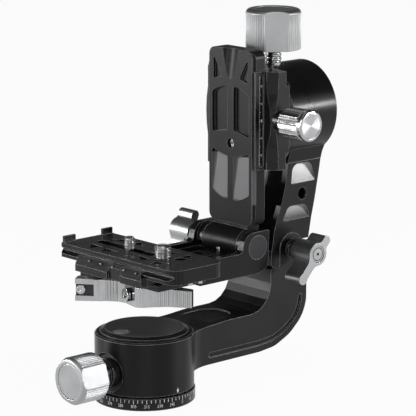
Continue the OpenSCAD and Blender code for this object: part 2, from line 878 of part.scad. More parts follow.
// One lobe of a wing lever: a bar with a round tip, run into the hub on two hollow curves
module lobe(reach, tip_r, width, blend) {
    blend_x = sqrt(pow(wing_hub_r + blend, 2) - pow(width / 2 + blend, 2));
    translate([0, -width / 2]) square([reach, width]);
    translate([reach, 0]) circle(tip_r);
    for (side = [-1, 1]) difference() {
        polygon([[0, 0], [blend_x, side * (width / 2 + blend)], [blend_x, 0]]);
        translate([blend_x, side * (width / 2 + blend)]) circle(blend);
    }
}

// A wing lever along Z: its hub stands at zero, and its two lobes end flush with the hub's face
module wing_lever(turn) {
    difference() {
        union() {
            round_z(0, hub_len, wing_hub_r);
            translate([0, 0, hub_len - wing_depth]) linear_extrude(wing_depth) rotate(turn) {
                lobe(wing_long_reach, wing_long_tip_r, wing_long_w, wing_blend_r);
                rotate(wing_lobe_angle) lobe(wing_short_reach, wing_short_tip_r, wing_short_w,
                    wing_short_blend_r);
            }
        }
        round_z(-past, bolt_in_lever + seat_gap, fold_bolt_r + seat_gap);
        round_z(hub_len - lever_cap_t, hub_len + past, lever_cap_r + seat_gap);
    }
}

module wing_cap() {
    difference() {
        translate([0, 0, hub_len - lever_cap_t])
            turned(cap_height_share * lever_cap_t, lever_cap_r, fine_edge / 2);
        round_z(hub_len - lever_cap_t / 2, hub_len, lever_cap_r / 5);
    }
}

module at_fold_lever() {
    at_fold() translate([0, -half_arm - lever_off, 0]) rotate([90, 0, 0]) children();
}

module fold_lever() {
    color("#c9cbce") at_fold_lever() wing_lever(fold_wing_turn);
}

module fold_lever_cap() {
    color("#b5b7ba") at_fold_lever() wing_cap();
}

// Upper arm and tilt drum in one machined piece
function upper_point(share) = [fold_x + share.x * leg_t, fold_z + share.y * arm_rise];

module upper_arm_outline() {
    difference() {
        polygon(concat([for (p = upper_right_shares) upper_point(p)],
            [for (p = upper_left_shares) upper_point(p)],
            rounded([[leg_inner_x + fine_edge, fold_z, 0], [leg_inner_x + fine_edge, finger_low_z,
                finger_round],
                [fold_x - disc_r - move_gap, finger_low_z, finger_round / 2],
                [fold_x - disc_r - move_gap, fold_z, 0],
                [fold_x, fold_z + upper_right_shares[0].y * arm_rise, 0]])));
        translate([fold_x, fold_z]) circle(fold_notch_r);
    }
}

// A pocket whose floor slopes up to the arm's side at its lower edge
module arm_pocket(shares) {
    bottom = fold_z + shares[0].y * arm_rise;
    height = (shares[1].y - shares[0].y) * arm_rise;
    intersection() {
        extrude_y(-half_arm - past, -half_arm + 2 * pocket_depth)
            polygon(rounded([for (p = shares) [upper_point(p).x, upper_point(p).y, p.z * leg_t]]));
        translate([0, -half_arm, bottom]) rotate([-atan(pocket_depth / height), 0, 0])
            block(0, 2 * fold_x, -2 * pocket_depth, 0, -past, 2 * height);
    }
}

module at_tilt() {
    translate([0, 0, tilt_z]) children();
}

module drum_screw_places() {
    for (i = [0:drum_screw_count - 1]) rotate([i * 360 / drum_screw_count, 0, 0])
        translate([0, 0, drum_screw_ring_r]) children();
}

module arm_and_drum() {
    difference() {
        union() {
            extrude_y(-half_arm, half_arm) upper_arm_outline();
            at_fold() round_y(-tongue_w / 2, tongue_w / 2, disc_r);
            at_fold() extrude_y(-tongue_w / 2, tongue_w / 2)
                polygon([[-disc_r, 0], [disc_r, upper_right_shares[0].y * arm_rise],
                    [disc_r, disc_r + edge], [-disc_r, disc_r + edge]]);
            at_tilt() translate([tilt_face_x, 0, 0]) rotate([0, 90, 0]) turned(drum_depth, drum_r,
                drum_edge);
        }
        at_tilt() {
            round_x(tilt_face_x - past, drum_x - drum_cover_t, drum_bore_r);
            round_x(drum_x - drum_cover_t - lid_sink, drum_x + past,
                drum_cover_r + seat_gap);
            drum_screw_places() round_x(drum_x - drum_screw_len - drum_cover_t, drum_x,
                drum_screw_r + seat_gap);
        }
        translate([tilt_knob_x, 0, 0]) {
            round_z(drum_spot_z, drum_spot_z + 3 * past, tilt_spot_r);
            round_z(drum_spot_z - tilt_collar_root, drum_spot_z + past,
                tilt_collar_root_r + seat_gap);
            round_z(tilt_z, drum_spot_z, stud_bore_r);
        }
        at_fold() round_y(-half_arm, half_arm, fold_bolt_r + run_gap);
        both_sides() {
            arm_pocket(top_pocket_shares);
            arm_pocket(low_pocket_shares);
        }
        translate([accessory_x, 0, accessory_z]) {
            round_y(-half_arm - past, -half_arm + accessory_depth, quarter_r);
            translate([0, -half_arm, 0]) rotate([-90, 0, 0])
                cylinder(h = accessory_sink, r1 = quarter_r + accessory_sink, r2 = quarter_r);
        }
    }
}

// The arm and its drum are one casting, kept as two pieces that meet at drum_joint_z
module arm_part(low, high) {
    color("#161618") intersection() {
        arm_and_drum();
        block(0, 2 * fold_x, -2 * drum_r, 2 * drum_r, low, high);
    }
}

module upper_arm() {
    arm_part(0, drum_joint_z);
}

module tilt_drum() {
    arm_part(drum_joint_z, tilt_z + 2 * drum_r);
}

module tilt_bush(x0) {
    at_tilt() difference() {
        round_x(x0, x0 + tilt_bush_len, drum_bore_r);
        round_x(x0 - past, x0 + tilt_bush_len + past, tilt_journal_r + run_gap);
    }
}

module tilt_bush_front() {
    color("#b08d57") tilt_bush(tilt_face_x + tilt_bush_set);
}

module tilt_bush_rear() {
    color("#b08d57") tilt_bush(drum_x - rear_bush_gap - tilt_bush_len);
}

module tilt_collar() {
    color("#d3d5d8") translate([tilt_knob_x, 0, 0]) difference() {
        union() {
            round_z(drum_spot_z, tilt_knob_low - move_gap, tilt_collar_r);
            round_z(drum_spot_z - tilt_collar_root, drum_spot_z, tilt_collar_root_r);
        }
        round_z(tilt_z, tilt_knob_low, lock_stud_r + run_gap);
        for (i = [1:collar_grooves])
            translate([0, 0, drum_spot_z + i * (tilt_knob_low - drum_spot_z) / (collar_grooves + 1)])
            rotate_extrude() translate([tilt_collar_r + collar_groove_r / 2, 0])
                circle(collar_groove_r, $fn = 24);
    }
}

module drum_cover() {
    color("#1a1a1c") at_tilt() difference() {
        round_x(drum_x - drum_cover_t - lid_sink, drum_x - lid_sink,
            drum_cover_r);
        drum_screw_places() {
            round_x(drum_x - drum_screw_len, drum_x, drum_screw_r + seat_gap);
            round_x(drum_x - lid_sink - lid_head_t, drum_x,
                lid_head_r + seat_gap);
        }
    }
}

module drum_cover_screws() {
    color("#77797c") at_tilt() drum_screw_places() difference() {
        union() {
            round_x(drum_x - drum_screw_len - drum_cover_t + seat_gap, drum_x - lid_sink
                - lid_head_t, drum_screw_r);
            round_x(drum_x - lid_sink - lid_head_t, drum_x - lid_sink,
                lid_head_r);
        }
        round_x(drum_x - lid_sink - lid_head_t / 2, drum_x, drum_screw_r,
            $fn = 6);
    }
}

// Tilt knob body, turning about Z
module at_tilt_knob() {
    translate([tilt_knob_x, 0, tilt_knob_low]) children();
}

module tilt_knob() {
    color("#c9cbce") at_tilt_knob()
        knob_body(tilt_knob_r, tilt_knob_len, view_turn + tilt_flat_turn, tilt_cap_share);
}

module tilt_knob_cap() {
    color("#d8dadc") at_tilt_knob() knob_cap(tilt_knob_r, tilt_knob_len, tilt_cap_share);
}

module tilt_stud() {
    color("#9a9c9f") translate([tilt_knob_x, 0, 0])
        round_z(tilt_z + tilt_land_r + stud_tip_gap,
            tilt_knob_low + bore_share * tilt_knob_len - seat_gap,
            lock_stud_r);
}

// Cradle: the spindle and the rail clamp that turn about the tilt axis
module tilt_spindle() {
    color("#8d8f92") at_tilt() difference() {
        union() {
            round_x(clamp_x, clamp_x + flange_t, flange_r);
            round_x(clamp_x, drum_x - rear_bush_gap + nut_set, tilt_journal_r);
            round_x(tilt_face_x + tilt_bush_set + tilt_bush_len + move_gap,
                drum_x - rear_bush_gap - tilt_bush_len - move_gap, tilt_land_r);
            round_x(clamp_x, drum_x - drum_cover_t - lid_sink - move_gap,
                tilt_thread_r);
        }
        body_screw_places() round_x(clamp_x - past, clamp_x + flange_t - fine_edge,
            body_screw_r + seat_gap);
    }
}

module spindle_nut() {
    color("#8d8f92") at_tilt() difference() {
        round_x(drum_x - rear_bush_gap + nut_set, drum_x - rear_bush_gap + nut_set
            + spindle_nut_t, spindle_nut_r);
        round_x(tilt_face_x, drum_x, tilt_thread_r + seat_gap);
    }
}

module body_screw_places() {
    for (i = [0:body_screw_count - 1]) rotate([(2 * i + 1) * 180 / body_screw_count, 0, 0])
        translate([0, 0, body_ring_r]) children();
}

// Cross-section of a jaw's hooked lip, seen from above, for the side at positive Y
module jaw_lip(outside) {
    polygon([[rail_x + groove_front + run_gap, half_rail + move_gap],
        [rail_x + groove_front + run_gap, half_rail + lip_w],
        [jaw_step_x, half_rail + lip_w],
        [jaw_step_x, outside],
        [clamp_x - small_step, outside],
        [clamp_x - small_step, half_rail + move_gap],
        [rail_x + groove_back, half_rail + move_gap],
        [rail_x + groove_back - groove_depth + move_gap / 2,
            half_rail - groove_depth + 2 * move_gap],
        [rail_x + groove_front + run_gap + move_gap, half_rail - groove_depth + 2 * move_gap]]);
}

// A jaw's outer part, waisted or bulging towards its middle
module jaw_flank(end_lip, mid_lip, end_bevel, mid_bevel, end_out, mid_out) {
    for (end = [-1, 1], i = [0:2]) hull() for (at = [i, i + 1]) {
        mix = jaw_mix_shares[at].y;
        jaw_slice(jaw_mid_z + end * jaw_mix_shares[at].x * (jaw_len - fine_edge),
            end_lip + mix * (mid_lip - end_lip),
            end_bevel + mix * (mid_bevel - end_bevel), end_out + mix * (mid_out - end_out));
    }
}

module jaw_slice(z, lip, bevel, outside) {
    translate([0, 0, z - fine_edge / 2]) linear_extrude(fine_edge) polygon([
        [jaw_step_x, half_rail + move_gap], [jaw_step_x, lip], [jaw_step_x + bevel, outside],
        [clamp_x - small_step, outside], [clamp_x - small_step, half_rail + move_gap]]);
}

module clamp_body() {
    color("#161618") difference() {
        union() {
            block(clamp_seat_x, clamp_x, jaw_split_y + move_gap, half_rail + 2 * move_gap,
                jaw_low_z,
                jaw_top_z);
            translate([0, 0, jaw_low_z]) linear_extrude(jaw_len) jaw_lip(half_rail + 2 * lip_w);
            jaw_flank(fixed_jaw_out_w - lip_w, fixed_jaw_out_w, lip_w, lip_w, fixed_jaw_out_w,
                fixed_jaw_out_w + fixed_jaw_bulge);
        }
        at_tilt() body_screw_places() {
            round_x(clamp_seat_x - past, clamp_x + past, body_screw_r + seat_gap);
            round_x(clamp_seat_x - past, clamp_seat_x + body_head_t + move_gap,
                body_head_r + seat_gap);
        }
        translate([clamp_knob_x, 0, tilt_z]) {
            round_y(jaw_split_y - past, clamp_screw_end_y + move_gap, clamp_screw_r + run_gap);
            guide_pin_places() round_y(jaw_split_y - past, jaw_split_y + guide_pin_in,
                guide_pin_r + seat_gap);
        }
        knob_room(0);
    }
}

// Room at the back corners, so that the clamp swings under the tilt knob
module knob_room(reach) {
    at_tilt() difference() {
        round_x(tilt_knob_x - tilt_knob_r - move_gap, tilt_knob_x, jaw_len);
        round_x(0, fold_x, drum_r + tilt_collar_len - move_gap - reach);
    }
}

module guide_pin_places() {
    for (side = [-1, 1]) translate([0, 0, side * guide_pin_rise]) children();
}

module clamp_body_screws() {
    color("#77797c") at_tilt() body_screw_places() difference() {
        union() {
            round_x(clamp_seat_x + move_gap, clamp_seat_x + move_gap + body_head_t,
                body_head_r);
            round_x(clamp_seat_x + move_gap, clamp_x + flange_t - fine_edge - seat_gap,
                body_screw_r);
        }
        round_x(clamp_seat_x, clamp_seat_x + move_gap + body_head_t / 2, body_screw_r, $fn = 6);
    }
}

module clamp_guide_pins() {
    color("#b9bbbe") translate([clamp_knob_x, 0, tilt_z]) guide_pin_places()
        round_y(-jaw_out_w + guide_pin_tail, jaw_split_y + guide_pin_in - seat_gap, guide_pin_r);
}

// Moving jaw, sliding along Y, and its knob
module clamp_jaw() {
    color("#1b1b1d") difference() {
        union() {
            mirror([0, 1, 0]) {
                translate([0, 0, jaw_low_z]) linear_extrude(jaw_len) jaw_lip(half_rail + 2 * lip_w);
                jaw_flank(jaw_end_lip_w, jaw_mid_lip_w, jaw_end_bevel, jaw_mid_bevel, jaw_out_w,
                    jaw_out_w);
            }
            block(clamp_seat_x, clamp_x - small_step, -half_rail - 2 * move_gap, jaw_split_y,
                jaw_low_z,
                jaw_top_z);
            translate([clamp_knob_x, 0, tilt_z]) round_y(-jaw_out_w - jaw_boss_t, -jaw_out_w + past,
                jaw_boss_r);
        }
        translate([clamp_knob_x, 0, tilt_z]) {
            round_y(-jaw_out_w - jaw_boss_t - past, jaw_split_y + past, clamp_screw_r + run_gap);
            guide_pin_places() round_y(-jaw_out_w + guide_pin_tail - clamp_travel, jaw_split_y + past,
                guide_pin_r + run_gap);
        }
        knob_room(clamp_travel);
        // Slot for the scale along the lip's outer side
        extrude_y(-half_rail - lip_w - past, -half_rail - lip_w + scale_slot_depth)
            polygon(rounded(box_corners(jaw_step_x - scale_slot_w - fine_edge, jaw_step_x - fine_edge,
                jaw_low_z + scale_slot_end, jaw_top_z - scale_slot_end,
                    scale_slot_w / 2 - seat_gap)));
    }
}

module at_clamp_knob() {
    translate([clamp_knob_x, -jaw_out_w - jaw_boss_t - seat_gap, tilt_z]) rotate([90, 0, 0]) children();
}

module clamp_knob() {
    color("#c9cbce") at_clamp_knob() difference() {
        turned(clamp_knob_len, clamp_knob_r, edge);
        for (i = [0:flute_count - 1]) rotate(i * 360 / flute_count)
            translate([clamp_knob_r + flute_r - flute_depth, 0, 0])
                round_z(-past, clamp_cap_share * clamp_knob_len, flute_r, $fn = 24);
        round_z(-past, bore_share * clamp_knob_len, clamp_screw_r + seat_gap);
        round_z(clamp_knob_len - edge, clamp_knob_len + past,
            clamp_cap_share * clamp_knob_r + seat_gap);
    }
}

module clamp_knob_cap() {
    color("#e2e4e6") at_clamp_knob() round_z(clamp_knob_len - edge, clamp_knob_len - edge / 4,
        clamp_cap_share * clamp_knob_r);
}

module clamp_screw() {
    color("#9a9c9f") translate([clamp_knob_x, 0, tilt_z])
        round_y(-jaw_out_w - jaw_boss_t - bore_share * clamp_knob_len + seat_gap, clamp_screw_end_y,
            clamp_screw_r);
}

// Rail: a dovetail plate with the platform's middle knuckle at its foot
function rail_point(share) = [share.x * half_rail, rail_low_z + share.y * rail_len];

module rail_section() {
    polygon([for (side = [1, -1]) each [for (p = side > 0 ? [0, 1, 2, 3, 4, 5] : [5, 4, 3, 2, 1, 0])
        [[rail_x, side * half_rail], [rail_x + groove_front, side * half_rail],
            [rail_x + groove_back - groove_depth - small_step, side * (half_rail - groove_depth)],
            [rail_x + groove_back - groove_depth, side * (half_rail - groove_depth)],
            [rail_x + groove_back, side * half_rail], [rail_back_x, side * half_rail]][p]]]);
}

// Points across a field's end, on an arc that is centred on the rail: hollow where its radius is negative
function field_end(share, arc_r, from, to, steps = 4) = [for (i = [0:steps])
    let (y = half_rail * (from + (to - from) * i / steps))
    [y, rail_low_z + share * rail_len + sign(arc_r) * (sqrt(arc_r * arc_r - y * y) - abs(arc_r)),
        i % steps == 0 ? field_round : 0]];

module face_field(ends, arcs, depth) {
    both_sides() extrude_x(rail_x - past, rail_x + depth) polygon(rounded(concat(
        field_end(ends[0], arcs[0], field_inner_share, field_outer_share),
        field_end(ends[1], arcs[1], field_outer_share, field_inner_share))));
}

// Fields whose floor runs out to the face along an arc at their lower edge
module sloping_field(ends, arcs, depth) {
    height = (ends[1] - ends[0]) * rail_len;
    intersection() {
        face_field(ends, arcs, 2 * depth);
        translate([rail_x, 0, rail_low_z + ends[0] * rail_len]) rotate([0,
            atan(depth / height), 0])
            block(-3 * depth, 0, -rail_w, rail_w, -2 * past, 2 * height);
    }
}

module rail() {
    color("#1b1b1d") difference() {
        union() {
            intersection() {
                translate([0, 0, rail_low_z]) linear_extrude(rail_len) rail_section();
                extrude_x(rail_x, rail_back_x)
                    polygon(rounded(box_corners(-half_rail, half_rail, rail_low_z, rail_top_z,
                        rail_corner)));
            }
            block(hinge_x, rail_back_x - web_back, -knuckle_half, knuckle_half, hinge_z,
                rail_low_z + edge);
            translate([hinge_x, 0, hinge_z]) round_y(-knuckle_half, knuckle_half, barrel_r);
        }
        // Thumb scoop at the top, a round channel that slopes out of the face
        translate([rail_x - scoop_r, 0, rail_top_z - scoop_len]) rotate([0,
            atan(scoop_depth / scoop_len), 0])
            round_z(0, 2 * scoop_len, scoop_r);
        both_sides() extrude_x(rail_x - past, rail_x + corner_pocket_depth)
            polygon(rounded([for (p = corner_shares) [rail_point(p).x, rail_point(p).y, edge]]));
        face_field(upper_field_share, upper_field_arcs, field_depth);
        sloping_field(lower_field_share, lower_field_arcs, field_depth);
        translate([0, 0, rail_low_z + rail_hole_share * rail_len])
            round_x(rail_x - past, rail_x + rail_hole_depth, rail_hole_r);
        translate([hinge_x, 0, hinge_z]) round_y(-half_rail, half_rail, hinge_pin_r + run_gap);
    }
}

module rail_centre_screw() {
    color("#b9bbbe") translate([0, 0, rail_low_z + rail_hole_share * rail_len]) difference() {
        round_x(rail_x + rail_screw_sink, rail_x + rail_hole_depth - seat_gap, rail_screw_r);
        round_x(rail_x, rail_x + rail_screw_sink + rail_screw_r / 2, rail_screw_r / 2,
            $fn = 6);
    }
}

// Platform arm: the fork that carries the lever clamp
module at_hinge() {
    translate([hinge_x, 0, hinge_z]) children();
}

module ear_outline() {
    polygon(rounded([[ear_back_x, ear_top_z, fine_edge], [ear_front_x, ear_top_z, ear_round],
        [ear_front_x - ear_flare, arm_top_z, ear_corner / 2], [arm_end_x, arm_top_z, fine_edge],
        [arm_end_x, arm_low_z, edge], [hinge_x, arm_low_z, 0],
        [ear_back_x - edge, arm_low_z + ear_flare, ear_corner]]));
}

module platform_arm() {
    color("#161618") difference() {
        union() {
            both_sides() {
                extrude_y(ear_inner, half_fork) ear_outline();
                at_hinge() round_y(knuckle_half + move_gap, ear_inner + past, barrel_r);
            }
            difference() {
                extrude_y(-ear_inner - past, ear_inner + past) intersection() {
                    ear_outline();
                    translate([arm_end_x, arm_low_z]) square([hinge_x - arm_end_x,
                        arm_top_z - arm_low_z]);
                }
                at_hinge() round_y(-ear_inner, ear_inner, barrel_r + barrel_clear);
            }
            block(arm_end_x - ledge_len, arm_end_x + past, -ledge_half_w, ledge_half_w, arm_low_z,
                base_plate_z);
        }
        // Recessed floor with two long slots
        block(arm_end_x + arm_wall, hinge_x, -ear_inner, ear_inner, arm_floor_z, arm_top_z + past);
        for (side = [-1, 1]) translate([0, side * arm_slot_y, arm_floor_z - arm_slot_depth])
            linear_extrude(2 * arm_slot_depth) tangent_bar(
                [arm_end_x + arm_slot_shares[0] * (hinge_x - arm_end_x), 0], arm_slot_w / 2,
                [arm_end_x + arm_slot_shares[1] * (hinge_x - barrel_r - arm_end_x), 0], arm_slot_w / 2);
        at_hinge() {
            round_y(-half_fork - past, half_fork + past, hinge_pin_r + seat_gap);
            round_y(-half_fork - past, -half_fork + pin_cap_t, pin_cap_r + seat_gap);
        }
        translate([stop_pin_x, stop_pin_y, 0])
            round_z(arm_floor_z - stop_pin_root, arm_top_z, stop_pin_r + seat_gap);
        base_screw_pair() round_z(arm_low_z - past, base_plate_z + past,
            base_bolt_r + seat_gap);
        base_screw_pair() round_z(arm_low_z - past, arm_low_z + base_bolt_head_t,
            base_bolt_head_r + seat_gap);
    }
}

module base_screw_pair() {
    for (side = [-1, 1]) translate([arm_end_x - ledge_len / 2, side * base_screw_y, 0]) children();
}

module hinge_pin() {
    color("#9a9c9f") at_hinge()
        round_y(-half_fork + pin_cap_t, half_fork + lever_off + bolt_in_lever, hinge_pin_r);
}

module hinge_pin_cap() {
    color("#3a3a3d") at_hinge() round_y(-half_fork, -half_fork + pin_cap_t, pin_cap_r);
}

module platform_collar() {
    color("#29292b") at_hinge() translate([0, half_fork, 0]) rotate([-90, 0, 0]) stand_off_collar();
}

module at_platform_lever() {
    at_hinge() translate([0, half_fork + lever_off, 0]) rotate([-90, 0, 0]) children();
}

module platform_lever() {
    color("#c9cbce") at_platform_lever() wing_lever(platform_wing_turn);
}

module platform_lever_cap() {
    color("#b5b7ba") at_platform_lever() wing_cap();
}

module stop_pin() {
    color("#d8dadc") translate([stop_pin_x, stop_pin_y, 0]) {
        round_z(arm_floor_z - stop_pin_root + seat_gap, stop_pin_top_z - stop_pin_r, stop_pin_r);
        translate([0, 0, stop_pin_top_z - stop_pin_r]) sphere(stop_pin_r);
    }
}

// Lever clamp, seen along Y. The outline of a lip that hooks over the plate's dovetail foot,
// measured outwards from the plate's edge
module lip_outline(outer_w, top_w, foot_z) {
    polygon([[seat_gap, foot_z], [seat_gap, plate_z + foot_h],
        [seat_gap - lip_reach, plate_z + foot_h + lip_reach], [seat_gap - lip_reach, lip_top_z],
        [top_w, lip_top_z], [outer_w, lip_top_z - jaw_slope_drop], [outer_w, foot_z]]);
}

module clamp_base() {
    color("#161618") difference() {
        union() {
            translate([0, 0, base_plate_z]) linear_extrude(base_plate_t)
                polygon(rounded(box_corners(seat_x - base_corner, base_back_x, clamp_near_y,
                    clamp_far_y, edge)));
            translate([0, 0, base_plate_z]) linear_extrude(base_plate_t)
                polygon(rounded(box_corners(jaw_lip_x - fine_edge, base_back_x,
                    clamp_far_y - pivot_ear_w,
                    clamp_far_y, base_corner)));
            block(seat_x, fixed_lip_x + past, clamp_near_y, clamp_far_y, base_plate_z,
                plate_z - seat_gap);
            translate([fixed_lip_x, 0, 0]) extrude_y(clamp_near_y, clamp_far_y)
                lip_outline(base_jaw_w, base_jaw_w, base_plate_z);
        }
        translate([pivot_x, pivot_y, 0]) round_z(base_plate_z - past, jaw_z + past,
            pivot_r + run_gap);
        base_screw_pair() round_z(base_plate_z - past,
            base_plate_z + base_bolt_len, base_bolt_r + seat_gap);
        jaw_pin_places() round_x(0, jaw_pin_in, jaw_pin_r + seat_gap);
    }
}

module jaw_pin_places() {
    for (side = [-1, 1]) translate([seat_x, clamp_y + side * jaw_pin_y,
        (jaw_z + plate_z) / 2]) children();
}

module clamp_base_screws() {
    color("#77797c") base_screw_pair() difference() {
        union() {
            round_z(arm_low_z + fine_edge, arm_low_z + base_bolt_head_t,
                base_bolt_head_r);
            round_z(arm_low_z + fine_edge, base_plate_z + base_bolt_len - seat_gap,
                base_bolt_r);
        }
        round_z(arm_low_z, arm_low_z + base_bolt_head_t / 2 + fine_edge,
            base_bolt_r, $fn = 6);
    }
}

module jaw_guide_pins() {
    color("#b9bbbe") jaw_pin_places() round_x(-jaw_pin_out, jaw_pin_in - seat_gap, jaw_pin_r);
}

module release_jaw() {
    color("#1b1b1d") difference() {
        translate([jaw_lip_x, 0, 0]) mirror([1, 0, 0]) {
            extrude_y(jaw_near_y, jaw_far_y) lip_outline(jaw_wall, jaw_wall - jaw_slope,
                jaw_z + slide_gap);
            block(seat_gap - jaw_foot_w + jaw_wall, past, jaw_near_y, jaw_far_y,
                jaw_z + slide_gap,
                plate_z - slide_gap);
        }
        // Notch between the two gripping blocks
        block(jaw_lip_x - 2 * jaw_wall, jaw_lip_x - jaw_wall + jaw_notch_depth,
            jaw_far_y - notch_shares[1] * (jaw_far_y - jaw_near_y),
            jaw_far_y - notch_shares[0] * (jaw_far_y - jaw_near_y), jaw_z,
                lip_top_z + past);
        block(jaw_lip_x, jaw_lip_x + 2 * lip_reach,
            jaw_far_y - notch_shares[1] * (jaw_far_y - jaw_near_y),
            jaw_far_y - notch_shares[0] * (jaw_far_y - jaw_near_y), plate_z - slide_gap,
            lip_top_z + past);
        // Bevelled near end
        translate([jaw_lip_x - jaw_wall, jaw_near_y, jaw_z]) rotate(45)
            block(-past, jaw_wall * sqrt(2), -2 * jaw_wall, 0, 0, lip_top_z - jaw_z + past);
        // Slot for the cam and bores for the guide pins
        translate([pivot_x + cam_offset, pivot_y,
            jaw_z]) linear_extrude(slide_gap + cam_h + move_gap)
            tangent_bar([0, 0], cam_r + cam_clear, [0, -cam_offset], cam_r + cam_clear);
        jaw_pin_places() round_x(-jaw_pin_out - move_gap, past, jaw_pin_r + run_gap);
    }
}

// Release lever, turning about the cam's pivot
module at_pivot() {
    translate([pivot_x, pivot_y, 0]) children();
}

module release_lever() {
    color("#c9cbce") at_pivot() difference() {
        intersection() {
            translate([0, 0, lever_z - root_h / 2]) linear_extrude(root_h)
                polygon(concat(lever_len * lever_outer_shares, lever_len * lever_inner_shares));
            rotate(lever_angle) extrude_y(-lever_len, lever_len) polygon([
                [-root_h, lever_z - root_h / 2], [0, lever_z - root_h / 2],
                [lever_len, lever_z - lever_tip_h / 2], [lever_len, lever_z + lever_tip_h / 2],
                [0, lever_z + root_h / 2], [-root_h, lever_z + root_h / 2]]);
        }
        translate([0, 0, lever_z]) translate(lever_len * lever_root_shares) rotate(window_turn)
            block(-past, window_len, -past, window_depth, -window_h / 2, window_h / 2);
        round_z(lever_z - root_h, lever_z + root_h, pivot_r + seat_gap);
        at_lever_bolt() {
            round_x(-past * 4, bolt_pocket_depth, bolt_pocket_r);
            round_x(0, lever_bolt_root + past, lever_bolt_r / 2 + seat_gap);
        }
        at_tension() round_x(0, tension_along, tension_shank_r + seat_gap);
    }
}

module at_lever_bolt() {
    translate([lever_len * lever_bolt_share.x, lever_len * lever_bolt_share.y, lever_z])
        rotate(lever_bolt_turn + 180) children();
}

module at_tension() {
    translate([0, 0, lever_z]) translate(lever_len * lever_root_shares) rotate(window_turn)
        translate([tension_x, window_depth, 0]) rotate(90) children();
}

module release_pivot() {
    color("#9a9c9f") at_pivot() {
        round_z(lever_z - root_h / 2 + fine_edge, jaw_z + slide_gap * 3 / 4, pivot_r);
        translate([cam_offset, 0, 0]) round_z(jaw_z + slide_gap / 2,
            jaw_z + slide_gap + cam_h, cam_r);
    }
}

module tension_screw() {
    color("#b9bbbe") at_pivot() at_tension() difference() {
        union() {
            round_x(-tension_head_t, 0, tension_head_r);
            round_x(-fine_edge, tension_along - move_gap, tension_shank_r);
        }
        round_x(-tension_head_t - past, -tension_head_t / 2, tension_shank_r, $fn = 6);
    }
}

module lever_bolt() {
    color("#b9bbbe") at_pivot() at_lever_bolt() difference() {
        union() {
            round_x(bolt_pocket_depth - lever_bolt_out - past, bolt_pocket_depth,
                lever_bolt_r);
            round_x(0, lever_bolt_root, lever_bolt_r / 2);
        }
        round_x(-lever_bolt_out - 2 * past, 0, lever_bolt_r / 2, $fn = 6);
    }
}

// Camera plate with a dovetail foot
module plate_section() {
    polygon([for (side = [1, -1]) each [for (i = side > 0 ? [0, 1, 2, 3, 4, 5] : [5, 4, 3, 2, 1, 0]) [
        side * (i == 2 || i == 3 ? half_plate - dovetail_rise : half_plate),
        [plate_z, plate_z + foot_h, plate_z + foot_h + dovetail_rise,
            plate_z + foot_h + dovetail_rise + neck_h, plate_top_z - flange_h,
                plate_top_z][i]]]]);
}

module plate_outline() {
    polygon(rounded([
        [plate_x - half_plate, plate_y - plate_len / 2, plate_near_corner],
        [plate_x + half_plate, plate_y - plate_len / 2, plate_near_corner],
        [plate_x + half_plate, plate_y + plate_len / 2, plate_far_corner],
        [plate_x - half_plate, plate_y + plate_len / 2, plate_far_corner]]));
}

module at_plate_share(share) {
    translate([plate_x, plate_y - plate_len / 2 + share * plate_len, 0]) children();
}

module camera_plate() {
    color("#1b1b1d") difference() {
        union() {
            intersection() {
                translate([plate_x, 0, 0]) extrude_y(plate_y - plate_len / 2, plate_y + plate_len / 2)
                    plate_section();
                translate([0, 0, plate_z]) linear_extrude(plate_t) plate_outline();
            }
            for (lip = lip_shares) translate([plate_x - half_plate + lip[0] * plate_w, 0, 0])
                block(0, (lip[1] - lip[0]) * plate_w, plate_y + plate_len / 2 - lip_t - lip_edge,
                    plate_y + plate_len / 2 - lip_edge, plate_top_z - past, plate_top_z + lip_h);
        }
        // Long slot and its wider step underneath
        for (level = [[plate_z - past, plate_top_z + past, plate_slot_w],
            [plate_z - past, plate_z + slot_step_h, slot_step_w]])
            translate([plate_x, plate_y - plate_len / 2, level[0]]) linear_extrude(level[1] - level[0])
                tangent_bar([0, plate_slot_shares[0] * plate_len], level[2] / 2,
                    [0, plate_slot_shares[1] * plate_len], level[2] / 2);
        at_plate_share(big_y_share) {
            round_z(plate_z - past, plate_top_z + past, three_eighths_r + run_gap);
            round_z(plate_z - past, plate_z + slot_step_h,
                big_head_r + seat_gap);
        }
        at_plate_share(safety_share) translate([safety_hole_x, 0, 0])
            round_z(plate_top_z - 2 * recess_depth, plate_top_z + past, safety_hole_r);
        for (i = [0:3:len(recess_shares) - 1], side = [-1, 1])
            translate([plate_x + side * recess_x, plate_y - plate_len / 2, plate_top_z - recess_depth])
                linear_extrude(2 * recess_depth)
                polygon([for (j = [0:2]) [-side * recess_shares[i + j].x * plate_w,
                    recess_shares[i + j].y * plate_len]]);
        stop_screw_places() round_z(plate_z - past, plate_z + stop_screw_root,
            stop_screw_r + seat_gap);
    }
}

module stop_screw_places() {
    for (end = [-1, 1], side = [-1, 1])
        translate([plate_x + side * stop_screw_pair, plate_y + end * (plate_len / 2 - stop_screw_end),
            0])
            children();
}

module camera_screw(radius, head_r) {
    difference() {
        union() {
            round_z(plate_z + slot_step_h - screw_head_t - move_gap,
                plate_z + slot_step_h - move_gap,
                head_r);
            round_z(plate_z, plate_top_z + move_gap + seat_gap, radius - screw_neck_cut);
            round_z(plate_top_z + move_gap, plate_top_z + screw_stand, radius);
        }
        translate([0, 0, plate_z + slot_step_h - screw_head_t - move_gap])
            cube([2 * head_r, screw_key_w, 2 * screw_key_depth], center = true);
    }
}

module quarter_screw() {
    color("#b9bbbe") at_plate_share(small_y_share) camera_screw(quarter_r, small_head_r);
}

module three_eighths_screw() {
    color("#b9bbbe") at_plate_share(big_y_share) camera_screw(three_eighths_r,
        big_head_r);
}

